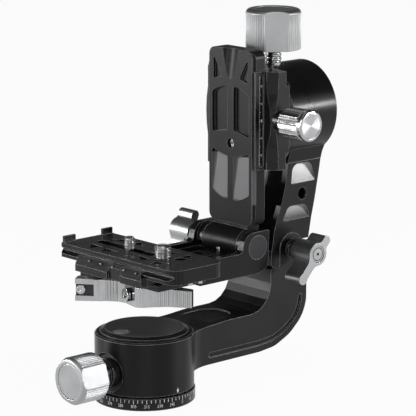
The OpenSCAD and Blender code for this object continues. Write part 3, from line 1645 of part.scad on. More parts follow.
module plate_stop_screws() {
    color("#b9bbbe") stop_screw_places() difference() {
        round_z(plate_z - stop_screw_drop, plate_z + stop_screw_root - seat_gap,
            stop_screw_r);
        round_z(plate_z - stop_screw_drop - past, plate_z - stop_screw_drop / 2,
            stop_screw_r / 2,
            $fn = 6);
    }
}

base_ring();
pan_spindle();
base_screws();
thrust_washer();
pan_retainer();
lower_arm();
pan_bush();
pan_cover();
level_vial();
level_lens();
pan_knob_collar();
fold_bolt();
fold_washers();
fold_collar();
pan_knob();
pan_knob_cap();
pan_stud();
fold_lever();
fold_lever_cap();
upper_arm();
tilt_drum();
tilt_bush_front();
tilt_bush_rear();
tilt_collar();
drum_cover();
drum_cover_screws();
tilt_knob();
tilt_knob_cap();
tilt_stud();
tilt_spindle();
spindle_nut();
clamp_body();
clamp_body_screws();
clamp_guide_pins();
clamp_jaw();
clamp_knob();
clamp_knob_cap();
clamp_screw();
rail();
rail_centre_screw();
platform_arm();
hinge_pin();
hinge_pin_cap();
platform_collar();
clamp_base();
clamp_base_screws();
jaw_guide_pins();
stop_pin();
platform_lever();
platform_lever_cap();
release_jaw();
release_lever();
release_pivot();
tension_screw();
lever_bolt();
camera_plate();
quarter_screw();
three_eighths_screw();
plate_stop_screws();
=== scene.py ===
import math

import bpy
from mathutils import Matrix, Vector


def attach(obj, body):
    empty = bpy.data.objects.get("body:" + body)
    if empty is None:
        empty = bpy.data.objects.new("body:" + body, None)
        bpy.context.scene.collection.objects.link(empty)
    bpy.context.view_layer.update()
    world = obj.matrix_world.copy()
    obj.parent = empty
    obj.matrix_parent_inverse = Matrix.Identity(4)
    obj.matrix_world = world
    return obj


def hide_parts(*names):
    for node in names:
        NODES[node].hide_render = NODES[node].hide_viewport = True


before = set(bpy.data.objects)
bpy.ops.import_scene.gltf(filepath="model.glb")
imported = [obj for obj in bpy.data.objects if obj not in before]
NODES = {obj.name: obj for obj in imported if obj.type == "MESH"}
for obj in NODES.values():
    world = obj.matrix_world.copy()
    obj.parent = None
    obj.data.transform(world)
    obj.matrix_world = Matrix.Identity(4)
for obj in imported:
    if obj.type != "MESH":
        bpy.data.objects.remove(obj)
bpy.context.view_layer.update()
MM = 0.001
SCENE = bpy.context.scene

# Sizes and places of the part, in millimetres in its own frame
HOUSING_R, BASE_R = 28.35, 28.9
COVER_Z = 41.2
LEVEL_X = -17.4
PAN_KNOB_R, PAN_KNOB_LEN = 13.5, 18.3
PAN_KNOB_X, PAN_KNOB_Z = -37.0, 19.7
PAN_CAP_SHARE = 0.74
TILT_Z = 154
TILT_KNOB_R, TILT_KNOB_LEN = 16.2, 23.5
TILT_KNOB_X, TILT_KNOB_Z = 100.3, 190.4
TILT_CAP_SHARE = 0.65
CLAMP_KNOB_R, CLAMP_KNOB_LEN = 8.85, 19.0
CLAMP_KNOB_X, CLAMP_KNOB_Y = 80.0, -33.45
FOLD_X, FOLD_Z = 98.4, 74.8
HINGE_X, HINGE_Z = 66.5, 81.0
PLATE_Z, PLATE_TOP_Z = 77.4, 85.5
PLATE_X = -2.5
JAW_MID_Z = 153.6
PIVOT = Vector((-18.5, 26.5))
LEVER_LEN = 70.0
LEVER_Z = 62.0
LEVER_ANGLE = -61.6
ROOT_H, LEVER_TIP_H = 13, 9.2

# Colours, with those of the painted edge highlights, and edge widths, in metres, that several materials
# share
DEEP_BLACK = ((0.002, 0.002, 0.0022), (0.006, 0.006, 0.0065))
BLACK_EDGE_HIGHLIGHT = (0.30, 0.30, 0.31)
BRIGHT_EDGE_HIGHLIGHT = (0.85, 0.85, 0.86)
FINE_EDGE, EDGE, WIDE_EDGE, THREAD_EDGE = 0.00028, 0.00030, 0.00036, 0.00016

# Boxes, in millimetres, where a milled floor gets a painted highlight: {axis: (low, high, soft)}
RAIL_PAINTED_HIGHLIGHT = {"X": (66.5, 70, 0.05), "Z": (104.6, 131.5, 0.6)}
ARM_HIGHLIGHT_Y = (-17.93, -14.2, 0.04)
ARM_PAINTED_HIGHLIGHTS = [{"Y": ARM_HIGHLIGHT_Y, "Z": (97.5, 100.8, 4.5)},
              {"Y": ARM_HIGHLIGHT_Y, "Z": (120.0, 125.2, 6.5)}]


# Materials
def start(name):
    """An empty material with one shader."""
    mat = bpy.data.materials.new(name)
    mat.use_nodes = True
    tree = mat.node_tree
    tree.nodes.clear()
    out = tree.nodes.new("ShaderNodeOutputMaterial")
    shader = tree.nodes.new("ShaderNodeBsdfPrincipled")
    tree.links.new(shader.outputs[0], out.inputs[0])
    return mat, tree, shader


def node(tree, kind, **values):
    """A shader node. in_1=2 sets its second input to 2, and other words set its own properties."""
    made = tree.nodes.new("ShaderNode" + kind)
    for key, value in values.items():
        if key.startswith("in_"):
            made.inputs[int(key[3:])].default_value = value
        else:
            setattr(made, key, value)
    return made


def noise(tree, coords, scale, detail, stretch=None):
    """A noise texture in metres, stretched along an axis if asked."""
    made = node(tree, "TexNoise")
    made.inputs["Scale"].default_value = scale
    made.inputs["Detail"].default_value = detail
    place = coords.outputs["Object"]
    if stretch:
        mapping = node(tree, "Mapping")
        mapping.inputs["Scale"].default_value = stretch
        tree.links.new(place, mapping.inputs["Vector"])
        place = mapping.outputs[0]
    tree.links.new(place, made.inputs["Vector"])
    return made


def ramp(tree, source, low, high, a, b):
    """Maps a value from low..high to a..b."""
    made = node(tree, "MapRange", in_1=low, in_2=high, in_3=a, in_4=b)
    tree.links.new(source, made.inputs[0])
    return made.outputs[0]


def drift(tree, slow, a, b):
    """Slow noise, which stays near its middle, spread over a..b."""
    return ramp(tree, slow.outputs[0], 0.3, 0.7, a, b)


def colours(tree, factor, dark, light):
    """A colour between dark and light."""
    made = node(tree, "ValToRGB")
    made.color_ramp.elements[0].color = (*dark, 1)
    made.color_ramp.elements[1].color = (*light, 1)
    tree.links.new(factor, made.inputs[0])
    return made.outputs[0]


def mixed(tree, factor, colour, other):
    """A colour turned towards another by a factor."""
    mix = node(tree, "Mix", data_type="RGBA")
    mix.inputs["B"].default_value = (*other, 1)
    tree.links.new(factor, mix.inputs["Factor"])
    tree.links.new(colour, mix.inputs["A"])
    return mix.outputs["Result"]


def combined(tree, operation, values):
    """Several values joined by one math operation."""
    total = values[0]
    for value in values[1:]:
        more = node(tree, "Math", operation=operation)
        tree.links.new(total, more.inputs[0])
        tree.links.new(value, more.inputs[1])
        total = more.outputs[0]
    return total


def edges(tree, radius):
    """A bevel, and how far it turns away from the true face: 1 on an edge, 0 on a face."""
    on_face, on_edge = 0.995, 0.93
    bevel = node(tree, "Bevel", samples=6)
    bevel.inputs["Radius"].default_value = radius
    geometry = node(tree, "NewGeometry")
    dot = node(tree, "VectorMath", operation="DOT_PRODUCT")
    tree.links.new(bevel.outputs[0], dot.inputs[0])
    tree.links.new(geometry.outputs["Normal"], dot.inputs[1])
    return bevel, ramp(tree, dot.outputs["Value"], on_face, on_edge, 0.0, 1.0)


def within(tree, coords, limits):
    """1 inside a box given in millimetres as {axis: (low, high, soft)}, 0 outside it. soft is how
    gently the low side begins. The high side is sharp."""
    sharp = 0.05
    split = node(tree, "SeparateXYZ")
    tree.links.new(coords.outputs["Object"], split.inputs[0])
    sides = []
    for axis, (low, high, soft) in limits.items():
        along_axis = split.outputs["XYZ".index(axis)]
        for edge_at, blur, a, b in ((low, soft, 0.0, 1.0), (high, sharp, 1.0, 0.0)):
            sides.append(ramp(tree, along_axis, (edge_at - blur) * MM, (edge_at + blur) * MM, a, b))
    return combined(tree, "MULTIPLY", sides)


def metal(name, dark, light, rough, grain, bump, metallic=1.0, specular=0.5, stretch=None, edge=None,
          edge_radius=FINE_EDGE, aniso=0.0, patches=()):
    """Blasted, turned or anodised metal: fine grain, slow colour drift, a painted highlight along its edges
    and, inside each given box, a painted highlight over the milled floor there."""
    slow_scale, grain_share, wear, relief_depth = 60, 0.45, 0.03, 0.0003
    mat, tree, shader = start(name)
    coords = node(tree, "TexCoord")
    fine = noise(tree, coords, grain, 3.0, stretch)
    slow = noise(tree, coords, slow_scale, 3.0)
    tone = node(tree, "Math", operation="MULTIPLY_ADD", in_1=grain_share)
    tree.links.new(fine.outputs[0], tone.inputs[0])
    tree.links.new(drift(tree, slow, 0.1, 0.45), tone.inputs[2])
    colour = colours(tree, tone.outputs[0], dark, light)
    bevel, mask = edges(tree, edge_radius)
    # Painted highlight: the colour turns towards the edge colour along edges, where light would catch small
    # chamfers
    if edge:
        colour = mixed(tree, mask, colour, edge)
    # Painted highlight: inside each box the colour turns towards shine
    for limits, shine in patches:
        colour = mixed(tree, within(tree, coords, limits), colour, shine)
    tree.links.new(colour, shader.inputs["Base Color"])
    tree.links.new(drift(tree, slow, rough - wear, rough + wear), shader.inputs["Roughness"])
    relief = node(tree, "Bump")
    relief.inputs["Strength"].default_value = bump
    relief.inputs["Distance"].default_value = relief_depth
    tree.links.new(fine.outputs[0], relief.inputs["Height"])
    tree.links.new(bevel.outputs[0], relief.inputs["Normal"])
    tree.links.new(relief.outputs[0], shader.inputs["Normal"])
    shader.inputs["Metallic"].default_value = metallic
    shader.inputs["Specular IOR Level"].default_value = specular
    shader.inputs["Anisotropic"].default_value = aniso
    return mat


def black(name, tones, rough, edge=BLACK_EDGE_HIGHLIGHT, edge_radius=EDGE, **more):
    """Black anodising, which shines like a coat and not like bare metal."""
    return metal("black_anodised" + name, *tones, rough, metallic=0.0, edge=edge, edge_radius=edge_radius,
                 **more)


# Each edge colour below is a painted highlight along that material's edges
BLACK = black("", DEEP_BLACK, 0.28, grain=3200, bump=0.08, specular=0.20)
# The rail's lower milled fields get a painted highlight
BLACK_RAIL = black("_rail", ((0.003, 0.003, 0.0034), (0.009, 0.009, 0.010)), 0.38, grain=3000, bump=0.12,
                   specular=0.14, edge=(0.26, 0.26, 0.27), patches=[(RAIL_PAINTED_HIGHLIGHT, (0.13, 0.13, 0.135))])
# The arm's milled pocket floors get a painted highlight, bright at the top and fading downwards
BLACK_ARM = black("_arm", ((0.003, 0.003, 0.0034), (0.008, 0.008, 0.009)), 0.26, grain=3200, bump=0.06,
                  specular=0.24, patches=[(highlight_box, (0.60, 0.60, 0.61)) for highlight_box in ARM_PAINTED_HIGHLIGHTS])
BLACK_GLOSS = black("_turned", DEEP_BLACK, 0.22, grain=2600, bump=0.04, specular=0.24)
BLACK_HOUSING = black("_housing", DEEP_BLACK, 0.34, grain=3200, bump=0.06, specular=0.18,
                      edge=(0.40, 0.40, 0.41), edge_radius=WIDE_EDGE, aniso=0.75)
BLACK_DRUM = black("_drum", DEEP_BLACK, 0.30, grain=3200, bump=0.05, specular=0.24, aniso=0.6)
THREAD = metal("steel_rolled_thread", (0.34, 0.34, 0.345), (0.60, 0.60, 0.61), 0.20, grain=1500, bump=0.04,
               edge=BRIGHT_EDGE_HIGHLIGHT, edge_radius=THREAD_EDGE)
BLACK_COVER = black("_cover", ((0.006, 0.006, 0.0065), (0.014, 0.014, 0.015)), 0.34, grain=3000, bump=0.06,
                    specular=0.30, edge_radius=FINE_EDGE)
BLACK_JAW = black("_milled", ((0.003, 0.003, 0.0035), (0.009, 0.009, 0.010)), 0.28, grain=900, bump=0.06,
                  specular=0.24, stretch=(1, 1, 9), edge_radius=FINE_EDGE)
SILVER = metal("silver_blasted", (0.24, 0.245, 0.25), (0.44, 0.445, 0.45), 0.42, grain=3600, bump=0.10,
               edge=(0.75, 0.75, 0.76))
SILVER_BRIGHT = metal("silver_machined", (0.24, 0.245, 0.25), (0.56, 0.565, 0.57), 0.19, grain=900,
                      bump=0.05, stretch=(1, 1, 0.06), edge=BRIGHT_EDGE_HIGHLIGHT)
SPUN = metal("silver_spun", (0.34, 0.345, 0.35), (0.56, 0.56, 0.57), 0.24, grain=2400, bump=0.03,
             edge=BRIGHT_EDGE_HIGHLIGHT, aniso=0.85)
STEEL = metal("steel_ground", (0.30, 0.30, 0.31), (0.52, 0.52, 0.53), 0.26, grain=1500, bump=0.06,
              edge=(0.80, 0.80, 0.81))
DARK_STEEL = metal("steel_blackened", (0.015, 0.015, 0.017), (0.045, 0.045, 0.05), 0.28, grain=1500,
                   bump=0.05, metallic=0.6, edge=BLACK_EDGE_HIGHLIGHT)
BRONZE = metal("bronze_sintered", (0.30, 0.20, 0.09), (0.62, 0.45, 0.22), 0.40, grain=2500, bump=0.12)
WASHER = metal("washer_plastic", (0.62, 0.61, 0.57), (0.78, 0.77, 0.72), 0.5, grain=1200, bump=0.05,
               metallic=0.0)
PAINT = metal("scale_paint", (0.62, 0.62, 0.62), (0.86, 0.86, 0.86), 0.55, grain=4000, bump=0.05,
              metallic=0.0)


def lay_grain(mat, direction):
    """Turns a material's highlights by a direction in the object's own axes."""
    tree = mat.node_tree
    world_way = node(tree, "VectorTransform", vector_type="VECTOR", convert_from="OBJECT",
                     convert_to="WORLD")
    tree.links.new(direction, world_way.inputs[0])
    shader = next(n for n in tree.nodes if n.type == "BSDF_PRINCIPLED")
    tree.links.new(world_way.outputs[0], shader.inputs["Tangent"])


def spun(mat, centre, axis):
    """Turned faces: the grain runs in circles about the axis through the centre, in millimetres."""
    tree = mat.node_tree
    coords = node(tree, "TexCoord")
    offset = node(tree, "VectorMath", operation="SUBTRACT", in_1=[v * MM for v in centre])
    around = node(tree, "VectorMath", operation="CROSS_PRODUCT", in_1=axis)
    tree.links.new(coords.outputs["Object"], offset.inputs[0])
    tree.links.new(offset.outputs[0], around.inputs[0])
    lay_grain(mat, around.outputs[0])


def drawn(mat, axis):
    """Turned round parts: the highlights spread along the axis."""
    way = node(mat.node_tree, "CombineXYZ", in_0=axis[0], in_1=axis[1], in_2=axis[2])
    lay_grain(mat, way.outputs[0])


# The small shares keep the direction from running straight out of the flat ends
spun(SPUN, (CLAMP_KNOB_X, 0, TILT_Z), (0, 1, 0))
drawn(BLACK_HOUSING, (0.05, 0.03, 1.0))
drawn(BLACK_DRUM, (1.0, 0.03, 0.05))


def hazy(name, scale, dark, light, smooth, rough):
    """A clear or liquid thing with a little haze, smooth to rough."""
    mat, tree, shader = start(name)
    haze = noise(tree, node(tree, "TexCoord"), scale, 2.0)
    tree.links.new(colours(tree, haze.outputs[0], dark, light), shader.inputs["Base Color"])
    tree.links.new(drift(tree, haze, smooth, rough), shader.inputs["Roughness"])
    return mat, shader


def liquid():
    mat, shader = hazy("level_liquid", 260, (0.40, 0.47, 0.02), (0.72, 0.80, 0.09), 0.12, 0.2)
    shader.inputs["Coat Weight"].default_value = 0.6
    return mat


def clear():
    mat, shader = hazy("level_glass", 300, (0.90, 0.94, 0.88), (0.98, 1.0, 0.97), 0.02, 0.05)
    shader.inputs["Alpha"].default_value = 0.18
    return mat


LIQUID, CLEAR = liquid(), clear()

DRESS = {
    BLACK: "platform_arm clamp_base camera_plate clamp_body",
    BLACK_HOUSING: "lower_arm",
    BLACK_RAIL: "rail",
    BLACK_ARM: "upper_arm",
    BLACK_DRUM: "tilt_drum",
    BLACK_GLOSS: "base_ring drum_cover",
    BLACK_COVER: "pan_cover",
    BLACK_JAW: "clamp_jaw release_jaw",
    SILVER: "pan_knob pan_knob_cap tilt_knob tilt_knob_cap clamp_knob fold_lever platform_lever"
            " fold_lever_cap platform_lever_cap",
    SILVER_BRIGHT: "release_lever tilt_collar lever_bolt",
    SPUN: "clamp_knob_cap",
    STEEL: "pan_spindle base_screws pan_retainer pan_stud tilt_stud tilt_spindle spindle_nut"
           " drum_cover_screws clamp_body_screws clamp_guide_pins clamp_screw rail_centre_screw hinge_pin"
           " clamp_base_screws jaw_guide_pins stop_pin release_pivot tension_screw quarter_screw"
           " three_eighths_screw plate_stop_screws",
    DARK_STEEL: "pan_knob_collar fold_bolt fold_collar hinge_pin_cap platform_collar",
    BRONZE: "pan_bush tilt_bush_front tilt_bush_rear",
    WASHER: "thrust_washer fold_washers",
    LIQUID: "level_vial",
    CLEAR: "level_lens",
}
for dress, names in DRESS.items():
    for name in names.split():
        NODES[name].data.materials.clear()
        NODES[name].data.materials.append(dress)


# Mesh helpers, all in millimetres
def at(origin, z_axis=(0, 0, 1), x_axis=(1, 0, 0)):
    """The place whose own z and x axes run these ways from the origin."""
    z = Vector(z_axis).normalized()
    x = (Vector(x_axis) - z * z.dot(Vector(x_axis))).normalized()
    y = z.cross(x)
    return Matrix(((x.x, y.x, z.x, origin[0]), (x.y, y.y, z.y, origin[1]),
                   (x.z, y.z, z.z, origin[2]), (0, 0, 0, 1)))


def piece(name, verts, faces, body, mat, slot=None, place=None, smooth=None, stands_for=()):
    """A new mesh that rides on a body. smooth is the angle in degrees under which faces shade as one."""
    mesh = bpy.data.meshes.new(name)
    points = [(place @ Vector(v) if place else Vector(v)) * MM for v in verts]
    mesh.from_pydata([tuple(p) for p in points], [], faces)
    mesh.validate()
    mesh.materials.append(mat)
    made = bpy.data.objects.new(name, mesh)
    SCENE.collection.objects.link(made)
    if smooth:
        mesh.shade_smooth()
        mesh.set_sharp_from_angle(angle=math.radians(smooth))
    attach(made, body)
    if stands_for:
        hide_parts(*stands_for)


def lathe(rows, count, start_face=True, end_face=True):
    """Rings of points joined into a skin, closed at the ends that have a face. Each row is
    (z, radius or radius(angle))."""
    verts, faces = [], []
    for z, radius in rows:
        for i in range(count):
            angle = 2 * math.pi * i / count
            r = radius(angle) if callable(radius) else radius
            verts.append((r * math.cos(angle), r * math.sin(angle), z))
    for row in range(len(rows) - 1):
        for i in range(count):
            a, b = row * count + i, row * count + (i + 1) % count
            faces.append((a, b, b + count, a + count))
    if start_face:
        faces.append(tuple(range(count - 1, -1, -1)))
    if end_face:
        faces.append(tuple((len(rows) - 1) * count + i for i in range(count)))
    return verts, faces


def diamond(half_w, half_h):
    return [(0, -half_h), (half_w, 0), (0, half_h), (-half_w, 0)]


class Heap:
    """Gathers many small solids into one mesh."""

    def __init__(self):
        self.verts, self.faces = [], []

    def add(self, verts, faces, place=None):
        base = len(self.verts)
        self.verts += [tuple(place @ Vector(v)) if place else tuple(v) for v in verts]
        self.faces += [tuple(base + i for i in f) for f in faces]

    def box(self, x0, x1, y0, y1, z0, z1, place=None, shape=None):
        verts = [(x, y, z) for z in (z0, z1) for y in (y0, y1) for x in (x0, x1)]
        if shape:
            verts = [shape(v) for v in verts]
        self.add(verts, [(0, 2, 3, 1), (4, 5, 7, 6), (0, 1, 5, 4), (2, 6, 7, 3), (0, 4, 6, 2),
                         (1, 3, 7, 5)], place)

    def prism(self, outline, z0, z1, place=None, shape=None):
        n = len(outline)
        verts = [(x, y, z0) for x, y in outline] + [(x, y, z1) for x, y in outline]
        if shape:
            verts = [shape(v) for v in verts]
        faces = [tuple(range(n - 1, -1, -1)), tuple(range(n, 2 * n))]
        faces += [(i, (i + 1) % n, n + (i + 1) % n, n + i) for i in range(n)]
        self.add(verts, faces, place)

    def words(self, text, height, depth, place=None, shape=None):
        """Numbers as a thin solid, centred on their middle, in the XY plane."""
        digit_share = 0.7
        curve = bpy.data.curves.new("numbers", "FONT")
        curve.body = text
        curve.align_x, curve.align_y = "CENTER", "CENTER"
        curve.size = height / digit_share
        curve.extrude = depth
        curve.resolution_u = 3
        holder = bpy.data.objects.new("numbers", curve)
        SCENE.collection.objects.link(holder)
        bpy.context.view_layer.update()
        mesh = bpy.data.meshes.new_from_object(holder)
        verts = [tuple(v.co) for v in mesh.vertices]
        if shape:
            verts = [shape(v) for v in verts]
        self.add(verts, [tuple(p.vertices) for p in mesh.polygons], place)
        bpy.data.objects.remove(holder)
        bpy.data.curves.remove(curve)
        bpy.data.meshes.remove(mesh)

    def make(self, name, body, mat, **more):
        piece(name, self.verts, self.faces, body, mat, **more)


# Base: the painted scale, and the index on the housing above it
def on_round(radius, middle):
    """Wraps a flat drawing, x to the right and y up, round an upright cylinder, z outwards."""
    def shape(v):
        angle = middle + v[0] / radius
        return ((radius + v[2]) * math.cos(angle), (radius + v[2]) * math.sin(angle), v[1])
    return shape


def base_scale():
    tick_step, label_step = 5, 15
    front_azimuth, front_label = 231.5, 315
    tick_half_w, tick_top, long_low, short_low = 0.16, 6.35, 4.0, 4.6
    label_h, label_z, squeeze = 1.75, 2.55, 0.9
    sunk, raised = -0.2, 0.04
    scale = Heap()
    for label in range(0, 360, tick_step):
        major = label % label_step == 0
        wrap = on_round(BASE_R, math.radians(front_azimuth + label - front_label))
        scale.box(-tick_half_w, tick_half_w, long_low if major else short_low, tick_top, sunk, raised,
                  shape=wrap)
        if major:
            scale.words(str(label), label_h, raised,
                        shape=lambda v, wrap=wrap: wrap((v[0] * squeeze, v[1] + label_z, v[2])))
    scale.make("base_scale", "base", PAINT, slot="black")


def pan_index():
    azimuth, index_z, sunk, raised = 270.3, 9.9, -0.2, 0.05
    wrap = on_round(HOUSING_R, math.radians(azimuth))
    index = Heap()
    index.prism(diamond(0.75, 1.6), sunk, raised, shape=lambda v: wrap((v[0], v[1] + index_z, v[2])))
    index.make("pan_index", "housing", PAINT, slot="black")


base_scale()
pan_index()


# Cover: the turned rings, and the bubble and rings of its level
def cover_rings():
    slope = 0.05
    rings = Heap()
    for inner, outer, top in ((22.2, 22.75, 41.47), (19.6, 19.75, 41.44)):
        rows = [(COVER_Z, inner), (top, inner + slope), (top, outer - slope), (COVER_Z, outer)]
        rings.add(*lathe(rows, 160, False, False))
    rings.make("cover_rings", "housing", BLACK_COVER, slot="black", smooth=30)


def level():
    bubble = Heap()
    bubble.add(*lathe([(0, 1.35), (0.12, 1.25), (0.18, 0.9), (0.2, 0.3)], 32),
               place=at((LEVEL_X - 0.5, 0.3, 40.78)))
    bubble.make("level_bubble", "housing", CLEAR, slot="lens", smooth=40)
    target = Heap()
    target.add(*lathe([(0, 1.9), (0.06, 1.92), (0.06, 2.12), (0, 2.14)], 48, False, False),
               place=at((LEVEL_X, 0, 40.79)))
    target.add(*lathe([(0, 4.3), (0.5, 4.35), (0.5, 4.85), (0, 4.88)], 64, False, False),
               place=at((LEVEL_X, 0, 40.8)))
    target.make("level_rings", "housing", DARK_STEEL, slot="vial", smooth=30)


cover_rings()
level()


# Knobs
def knob(name, node_name, body, radius, length, cap_share, turn, place, ribs):
    """A knob with three smooth flats, ribbed bands between them and a rounded shoulder. turn, in
    degrees, is where its first flat faces."""
    half, fade = math.radians(26), math.radians(2.5)
    shoulder = 0.16 * radius
    count, shoulder_steps = 720, 8
    rib_depth, bore_r = 0.62, 3.2
    third = 2 * math.pi / 3

    def section(limit, rib):
        def radius_at(angle):
            turned = (angle - math.radians(turn)) % third
            off = min(turned, third - turned)
            flat = radius * math.cos(half) / math.cos(off) if off < math.pi / 3.01 else radius * 2
            inside = min(1.0, max(0.0, (off - half) / fade))
            wave = 0.5 - 0.5 * math.cos(angle * ribs)
            band = limit - rib * rib_depth * inside * wave ** 0.6
            return min(flat, band) if off < half + 0.2 else band
        return radius_at

    rows = [(0, bore_r), (0, section(radius - 0.4, 0.3)), (0.4, section(radius, 1.0)),
            (0.55 * length, section(radius, 1.0)), (length - shoulder * 1.15, section(radius, 1.0)),
            (length - shoulder * 0.98, section(radius * 0.999, 0.5))]
    for step in range(1, shoulder_steps + 1):
        angle = math.pi / 2 * step / shoulder_steps
        rows.append((length - shoulder + shoulder * math.sin(angle),
                     section(radius - shoulder + shoulder * math.cos(angle), 0.0)))
    cap_r, cap_depth, cap_chamfer = cap_share * radius + 0.05, 0.09 * length, 0.25
    rows += [(length, cap_r + cap_chamfer), (length - cap_chamfer, cap_r), (length - cap_depth, cap_r)]
    verts, faces = lathe(rows, count)
    piece(name, verts, faces, body, SILVER, slot="silver", place=place, smooth=32,
          stands_for=(node_name,))


def knurled():
    """The clamp knob: eight flutes, a diamond knurl between them and a plain rim."""
    radius, length = CLAMP_KNOB_R, CLAMP_KNOB_LEN
    count, steps = 320, 96
    band_start, band_end = 0.7, 0.80 * length
    flute_step, flute_half, flute_depth = 45, 8.5, 0.42
    knurl_waves, knurl_rise, knurl_depth, knurl_base = 16, 1.81, 0.36, 0.16

    def section(z):
        def radius_at(angle):
            a = math.degrees(angle) % flute_step
            flute = min(a, flute_step - a)
            groove = flute_depth * max(0.0, 1 - (flute / flute_half) ** 2)
            inside = min(1.0, max(0.0, (flute - flute_half) / 2))
            inside = inside * min(1.0, z / 0.8) * min(1.0, (band_end - z) / 0.5)
            if z >= band_end or inside <= 0:
                return radius - groove * (1.0 if z < band_end else 0.0)
            p = (math.sin(angle * knurl_waves + z * knurl_rise)
                 * math.sin(angle * knurl_waves - z * knurl_rise))
            return radius - groove + inside * (knurl_depth * p - knurl_base)
        return radius_at

    cap_r, cap_bore, cap_depth = 0.8 * radius + 0.2, 0.8 * radius + 0.05, 0.8
    rows = [(0, 2.8), (0, radius - 0.8), (0.4, radius - 0.3)]
    for i in range(steps + 1):
        z = band_start + (band_end - band_start) * i / steps
        rows.append((z, section(z)))
    rows += [(band_end + 0.1, radius - 0.35), (band_end + 0.5, radius - 0.35), (band_end + 0.6, radius),
             (length - 0.7, radius), (length - 0.15, radius - 0.45), (length, radius - 0.8),
             (length, cap_r), (length - 0.2, cap_bore), (length - cap_depth, cap_bore)]
    verts, faces = lathe(rows, count)
    piece("clamp_knob_body", verts, faces, "clamp_lock", SILVER_BRIGHT, slot="silver",
          place=at((CLAMP_KNOB_X, CLAMP_KNOB_Y, TILT_Z), (0, -1, 0), (1, 0, 0)), smooth=38,
          stands_for=("clamp_knob",))


knob("pan_knob_body", "pan_knob", "pan_lock", PAN_KNOB_R, PAN_KNOB_LEN, PAN_CAP_SHARE, 47,
     at((PAN_KNOB_X, 0, PAN_KNOB_Z), (-1, 0, 0), (0, 0, 1)), 64)
knob("tilt_knob_body", "tilt_knob", "tilt_lock", TILT_KNOB_R, TILT_KNOB_LEN, TILT_CAP_SHARE, -126.4,
     at((TILT_KNOB_X, 0, TILT_KNOB_Z)), 60)
knurled()


# Camera screws: a head in the plate's underside, with a dark box of painted shade for its slot, a neck
# through it and a real thread above
def threaded(name, node_name, body, y, radius, pitch, head_r):
    slot_step_h, head_t, move_gap, stand = 3.4, 2.6, 0.3, 7.2
    chamfer, neck_cut = 0.3, 0.6
    low, top = PLATE_Z + slot_step_h - head_t - move_gap, PLATE_TOP_Z + stand
    head_top = low + head_t
    count, per_turn = 40, 10
    z = PLATE_TOP_Z + move_gap
    rows = [(low, head_r - chamfer), (low + chamfer, head_r), (head_top - chamfer, head_r),
            (head_top, head_r - chamfer), (head_top, radius - neck_cut), (z, radius - neck_cut)]
    end = top - 0.5
    root = radius - 0.62 * pitch

    def section(at_z):
        fade = min(1.0, max(0.0, (end - at_z) / (0.6 * pitch)))

        def radius_at(angle):
            phase = (at_z / pitch - angle / (2 * math.pi)) % 1.0
            saw = abs(phase - 0.5) * 2
            crest = min(1.0, max(0.0, (saw - 0.18) / 0.64))
            return root + (radius - root) * crest * (0.45 + 0.55 * fade)
        return radius_at

    while z < end:
        rows.append((z, section(z)))
        z += pitch / per_turn
    rows += [(end, root + 0.1), (top, root - 0.35)]
    verts, faces = lathe(rows, count)
    piece(name, verts, faces, body, THREAD, slot="steel", place=at((PLATE_X, y, 0)), smooth=50,
          stands_for=(node_name,))
    # The slot is a thin dark box on the head's face: painted shade for its hollow, not a cut
    slot_half_len, slot_half_w = 0.7 * head_r, 0.6
    slot = Heap()
    slot.box(-slot_half_len, slot_half_len, -slot_half_w, slot_half_w, low - 0.02, low + 0.05,
             place=at((PLATE_X, y, 0)))
    slot.make(name + "_slot", body, DARK_STEEL, slot="steel")


threaded("quarter_screw_thread", "quarter_screw", "quarter_screw", 9.29, 3.175, 1.27, 5.5)
threaded("three_eighths_screw_thread", "three_eighths_screw", "three_eighths_screw", -19.13, 4.76, 1.588,
         7.0)


# Moving jaw: ticks every millimetre on either side of a mark, and numbers
def jaw_scale():
    half_range, long_step, numbers = 26, 5, (20, 10, -10, -20)
    tick_x, short_x, long_x, number_x = 70.4, 71.5, 72.1, 72.75
    tick_half_w, sunk = 0.17, -0.1
    face = at((0, -19.3, 0), (0, -1, 0), (1, 0, 0))  # local x along +X, local y up, local z outwards
    jaw = Heap()
    for step in range(-half_range, half_range + 1):
        z = JAW_MID_Z + step
        jaw.box(tick_x, long_x if step % long_step == 0 else short_x, z - tick_half_w, z + tick_half_w,
                sunk, 0.06, place=face)
    for value in numbers:
        middle = Matrix.Translation((number_x, JAW_MID_Z + value, 0))
        turn = face @ middle @ Matrix.Rotation(math.radians(-90), 4, "Z")
        jaw.words(str(abs(value)), 1.1, 0.05, place=turn)
    jaw.prism(diamond(0.6, 1.1), sunk, 0.05, place=face @ Matrix.Translation((number_x, JAW_MID_Z, 0)))
    jaw.make("jaw_scale", "clamp_jaw", PAINT, slot="black_jaw")


jaw_scale()


# Release lever: half-round grips along its outer side, and a dark sheet of painted shade in its window
def along(points, first, last, count):
    """Evenly spaced places, with the direction there, along a run of straight lines. The points are
    shares of the lever's length from its pivot."""
    lines = [(Vector(a) * LEVER_LEN + PIVOT, Vector(b) * LEVER_LEN + PIVOT)
             for a, b in zip(points, points[1:])]
    total = sum((b - a).length for a, b in lines)
    for i in range(count):
        want = total * (first + (last - first) * i / (count - 1))
        for a, b in lines:
            if want <= (b - a).length:
                yield a.lerp(b, want / (b - a).length), (b - a).normalized()
                break
            want -= (b - a).length


def lever_half(point):
    """Half the lever's height at a place, less a small margin."""
    direction = Vector((math.cos(math.radians(LEVER_ANGLE)), math.sin(math.radians(LEVER_ANGLE))))
    share = min(1.0, max(0.0, (point - PIVOT).dot(direction) / LEVER_LEN))
    return (ROOT_H + (LEVER_TIP_H - ROOT_H) * share) / 2 - 0.05


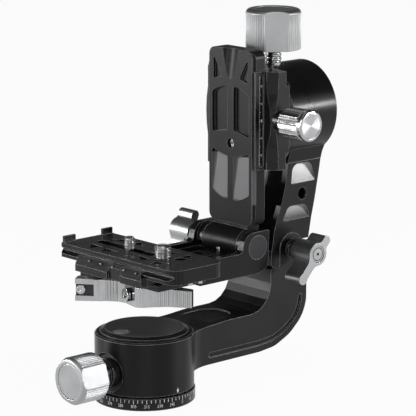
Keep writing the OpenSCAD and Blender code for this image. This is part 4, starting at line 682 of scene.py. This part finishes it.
def half_round(heap, point, direction, radius):
    """An upright half-round rib, sunk a little into the lever's side."""
    steps, sunk = 8, 0.35 * radius
    outline = [(radius * math.cos(math.pi * i / steps), radius * math.sin(math.pi * i / steps))
               for i in range(steps + 1)]
    outward = Vector((direction.y, -direction.x))
    place = Matrix(((direction.x, outward.x, 0, point.x), (direction.y, outward.y, 0, point.y),
                    (0, 0, 1, LEVER_Z), (0, 0, 0, 1)))
    half = lever_half(point)
    heap.prism([(x, y - sunk) for x, y in outline], -half, half, place=place)


def lever_grips():
    tip_run = [(0.19, -0.604), (0.264, -0.673), (0.316, -0.77), (0.364, -0.84)]
    root_run = [(0.055, -0.145), (0.106, -0.229), (0.119, -0.311)]
    ribs = Heap()
    for run, first, last, count, radius in ((tip_run, 0.10, 0.97, 9, 0.85), (root_run, 0.04, 0.5, 4, 0.7)):
        for point, direction in along(run, first, last, count):
            half_round(ribs, point, direction, radius)
    ribs.make("lever_grips", "release_lever", SILVER_BRIGHT, slot="silver", smooth=40)


def window_floor():
    """A thin dark sheet in the window behind the tension screw: painted shade for the window's depth."""
    corner, turn, length, half_h = (-26.41, 29.37, LEVER_Z), -50.5, 10.6, 3.25
    window = Heap()
    window.box(0.25, length, 1.72, 1.87, -half_h, half_h,
               place=Matrix.Translation(corner) @ Matrix.Rotation(math.radians(turn), 4, "Z"))
    window.make("window_floor", "release_lever", DARK_STEEL, slot="silver")


lever_grips()
window_floor()


# Dark rings of painted shade where the caps' grooves are, and on the wing caps a dark dot in the middle
def cap_grooves(name, body, place, bands, dot=None):
    sunk = -0.05
    heap = Heap()
    for inner, outer in bands:
        rows = [(sunk, inner), (0.03, inner), (0.03, outer), (sunk, outer)]
        heap.add(*lathe(rows, 96, False, False), place=place)
    if dot:
        heap.add(*lathe([(sunk, dot), (0.04, dot)], 32), place=place)
    heap.make(name, body, DARK_STEEL, slot="silver")


WING_BANDS, WING_DOT = [(3.45, 4.0), (4.7, 4.98)], 0.95
cap_grooves("fold_cap_groove_shade", "fold_lock", at((FOLD_X, -40.22, FOLD_Z), (0, -1, 0)), WING_BANDS, WING_DOT)
cap_grooves("platform_cap_groove_shade", "platform_lock", at((HINGE_X, 45.62, HINGE_Z), (0, 1, 0)), WING_BANDS,
            WING_DOT)
cap_grooves("pan_cap_groove_shade", "pan_lock", at((-54.97, 0, PAN_KNOB_Z), (-1, 0, 0)),
            [(6.75, 6.95), (9.35, 9.95)])


def lip_balls():
    """Balls along the release jaw's lip."""
    count, first_y, spacing, ball_x, ball_z = 5, 20.5, 10, -24.2 + 1.35, 79.9
    balls = Heap()
    for i in range(count):
        balls.add(*lathe([(0, 0.75), (0.28, 0.72), (0.5, 0.5), (0.6, 0.2)], 24),
                  place=at((ball_x, first_y - spacing * i, ball_z), (-0.55, 0, 0.83), (0, 1, 0)))
    balls.make("lip_balls", "release_jaw", STEEL, slot="steel", smooth=60)


lip_balls()


# Camera, placed and turned as the photograph's was
def photo_camera():
    """Lengths here are in metres, and the focal length is in pixels of the photograph."""
    photo_pixels, focal_pixels, sensor = 416, 2434.727, 36
    place = (-0.87325, -1.01013, 0.40195)
    yaw, pitch = math.radians(42.395), math.radians(12.329)
    right = Vector((math.cos(yaw), -math.sin(yaw), 0))
    look = Vector((math.sin(yaw) * math.cos(pitch), math.cos(yaw) * math.cos(pitch), -math.sin(pitch)))
    up = right.cross(look)
    data = bpy.data.cameras.new("camera")
    data.sensor_width = sensor
    data.lens = sensor * focal_pixels / photo_pixels
    camera = bpy.data.objects.new("camera", data)
    SCENE.collection.objects.link(camera)
    turned = Matrix((right, up, -look)).transposed().to_4x4()
    camera.matrix_world = Matrix.Translation(place) @ turned
    SCENE.camera = camera


photo_camera()


# Lamps, in metres and watts
def lamp(name, where, target, width, power, height=None):
    """A rectangle of light, square unless it has a height."""
    data = bpy.data.lights.new(name, "AREA")
    data.shape = "RECTANGLE"
    data.size, data.size_y = width, height or width
    data.energy = power
    made = bpy.data.objects.new(name, data)
    SCENE.collection.objects.link(made)
    made.location = where
    made.rotation_euler = (Vector(target) - Vector(where)).to_track_quat("-Z", "Y").to_euler()


lamp("side_strip", (-1.28, 0.06, 0.42), (0, 0, 0.05), 0.09, 4.2, 0.7)
lamp("front_strip", (-0.66, -1.16, 0.55), (0, 0, 0.1), 0.07, 2.6, 0.6)
lamp("front_strip_two", (-0.93, -0.93, 0.62), (0, 0, 0.1), 0.07, 3.0, 0.5)
lamp("right_strip", (0.78, -1.04, 0.42), (0, 0, 0.05), 0.09, 3.4, 0.6)
lamp("drum_strip", (0.56, -0.50, 0.235), (0.12, -0.02, 0.16), 0.16, 1.9, 0.05)
lamp("back_left", (-0.84, 0.92, 0.24), (0.05, 0, 0.07), 0.30, 9, 0.30)
lamp("top", (-0.2, -0.1, 1.5), (0.04, 0, 0.1), 0.9, 2.8)


# Sky and floor
def sky():
    """White at the horizon and below it, dark above."""
    world = bpy.data.worlds.new("studio")
    SCENE.world = world
    world.use_nodes = True
    tree = world.node_tree
    tree.nodes.clear()
    out = node(tree, "OutputWorld")
    split = node(tree, "SeparateXYZ")
    tree.links.new(node(tree, "TexCoord").outputs["Generated"], split.inputs[0])
    bands = node(tree, "ValToRGB")
    for position, level_there in ((0.02, 1.0), (0.10, 0.16), (0.45, 0.07)):
        stop = bands.color_ramp.elements.new(position)
        stop.color = (level_there, level_there, level_there, 1)
    bands.color_ramp.elements.remove(bands.color_ramp.elements[0])
    bands.color_ramp.elements.remove(bands.color_ramp.elements[-1])
    tree.links.new(split.outputs[2], bands.inputs[0])
    back = node(tree, "Background", in_1=1.0)
    tree.links.new(bands.outputs[0], back.inputs[0])
    tree.links.new(back.outputs[0], out.inputs[0])


def studio_floor():
    """A floor that mostly glows white to the camera and to reflections, and is lit for other rays."""
    half, grey, glow_share = 30, 0.92, 0.95
    floor_mesh = bpy.data.meshes.new("floor")
    corners = [(-half, -half, 0), (half, -half, 0), (half, half, 0), (-half, half, 0)]
    floor_mesh.from_pydata(corners, [], [(0, 1, 2, 3)])
    floor = bpy.data.objects.new("floor", floor_mesh)
    SCENE.collection.objects.link(floor)
    mat = bpy.data.materials.new("floor")
    mat.use_nodes = True
    tree = mat.node_tree
    tree.nodes.clear()
    out = node(tree, "OutputMaterial")
    mix = node(tree, "MixShader")
    lit = node(tree, "BsdfDiffuse", in_0=(grey, grey, grey, 1))
    glow = node(tree, "Emission", in_0=(1, 1, 1, 1), in_1=1.0)
    light = node(tree, "LightPath")
    rays = [light.outputs[name] for name in ("Is Camera Ray", "Is Glossy Ray", "Is Transmission Ray")]
    part = node(tree, "Math", operation="MULTIPLY", in_1=glow_share)
    tree.links.new(combined(tree, "MAXIMUM", rays), part.inputs[0])
    tree.links.new(part.outputs[0], mix.inputs[0])
    tree.links.new(lit.outputs[0], mix.inputs[1])
    tree.links.new(glow.outputs[0], mix.inputs[2])
    tree.links.new(mix.outputs[0], out.inputs[0])
    floor_mesh.materials.append(mat)


sky()
studio_floor()

SCENE.view_settings.view_transform = "Standard"
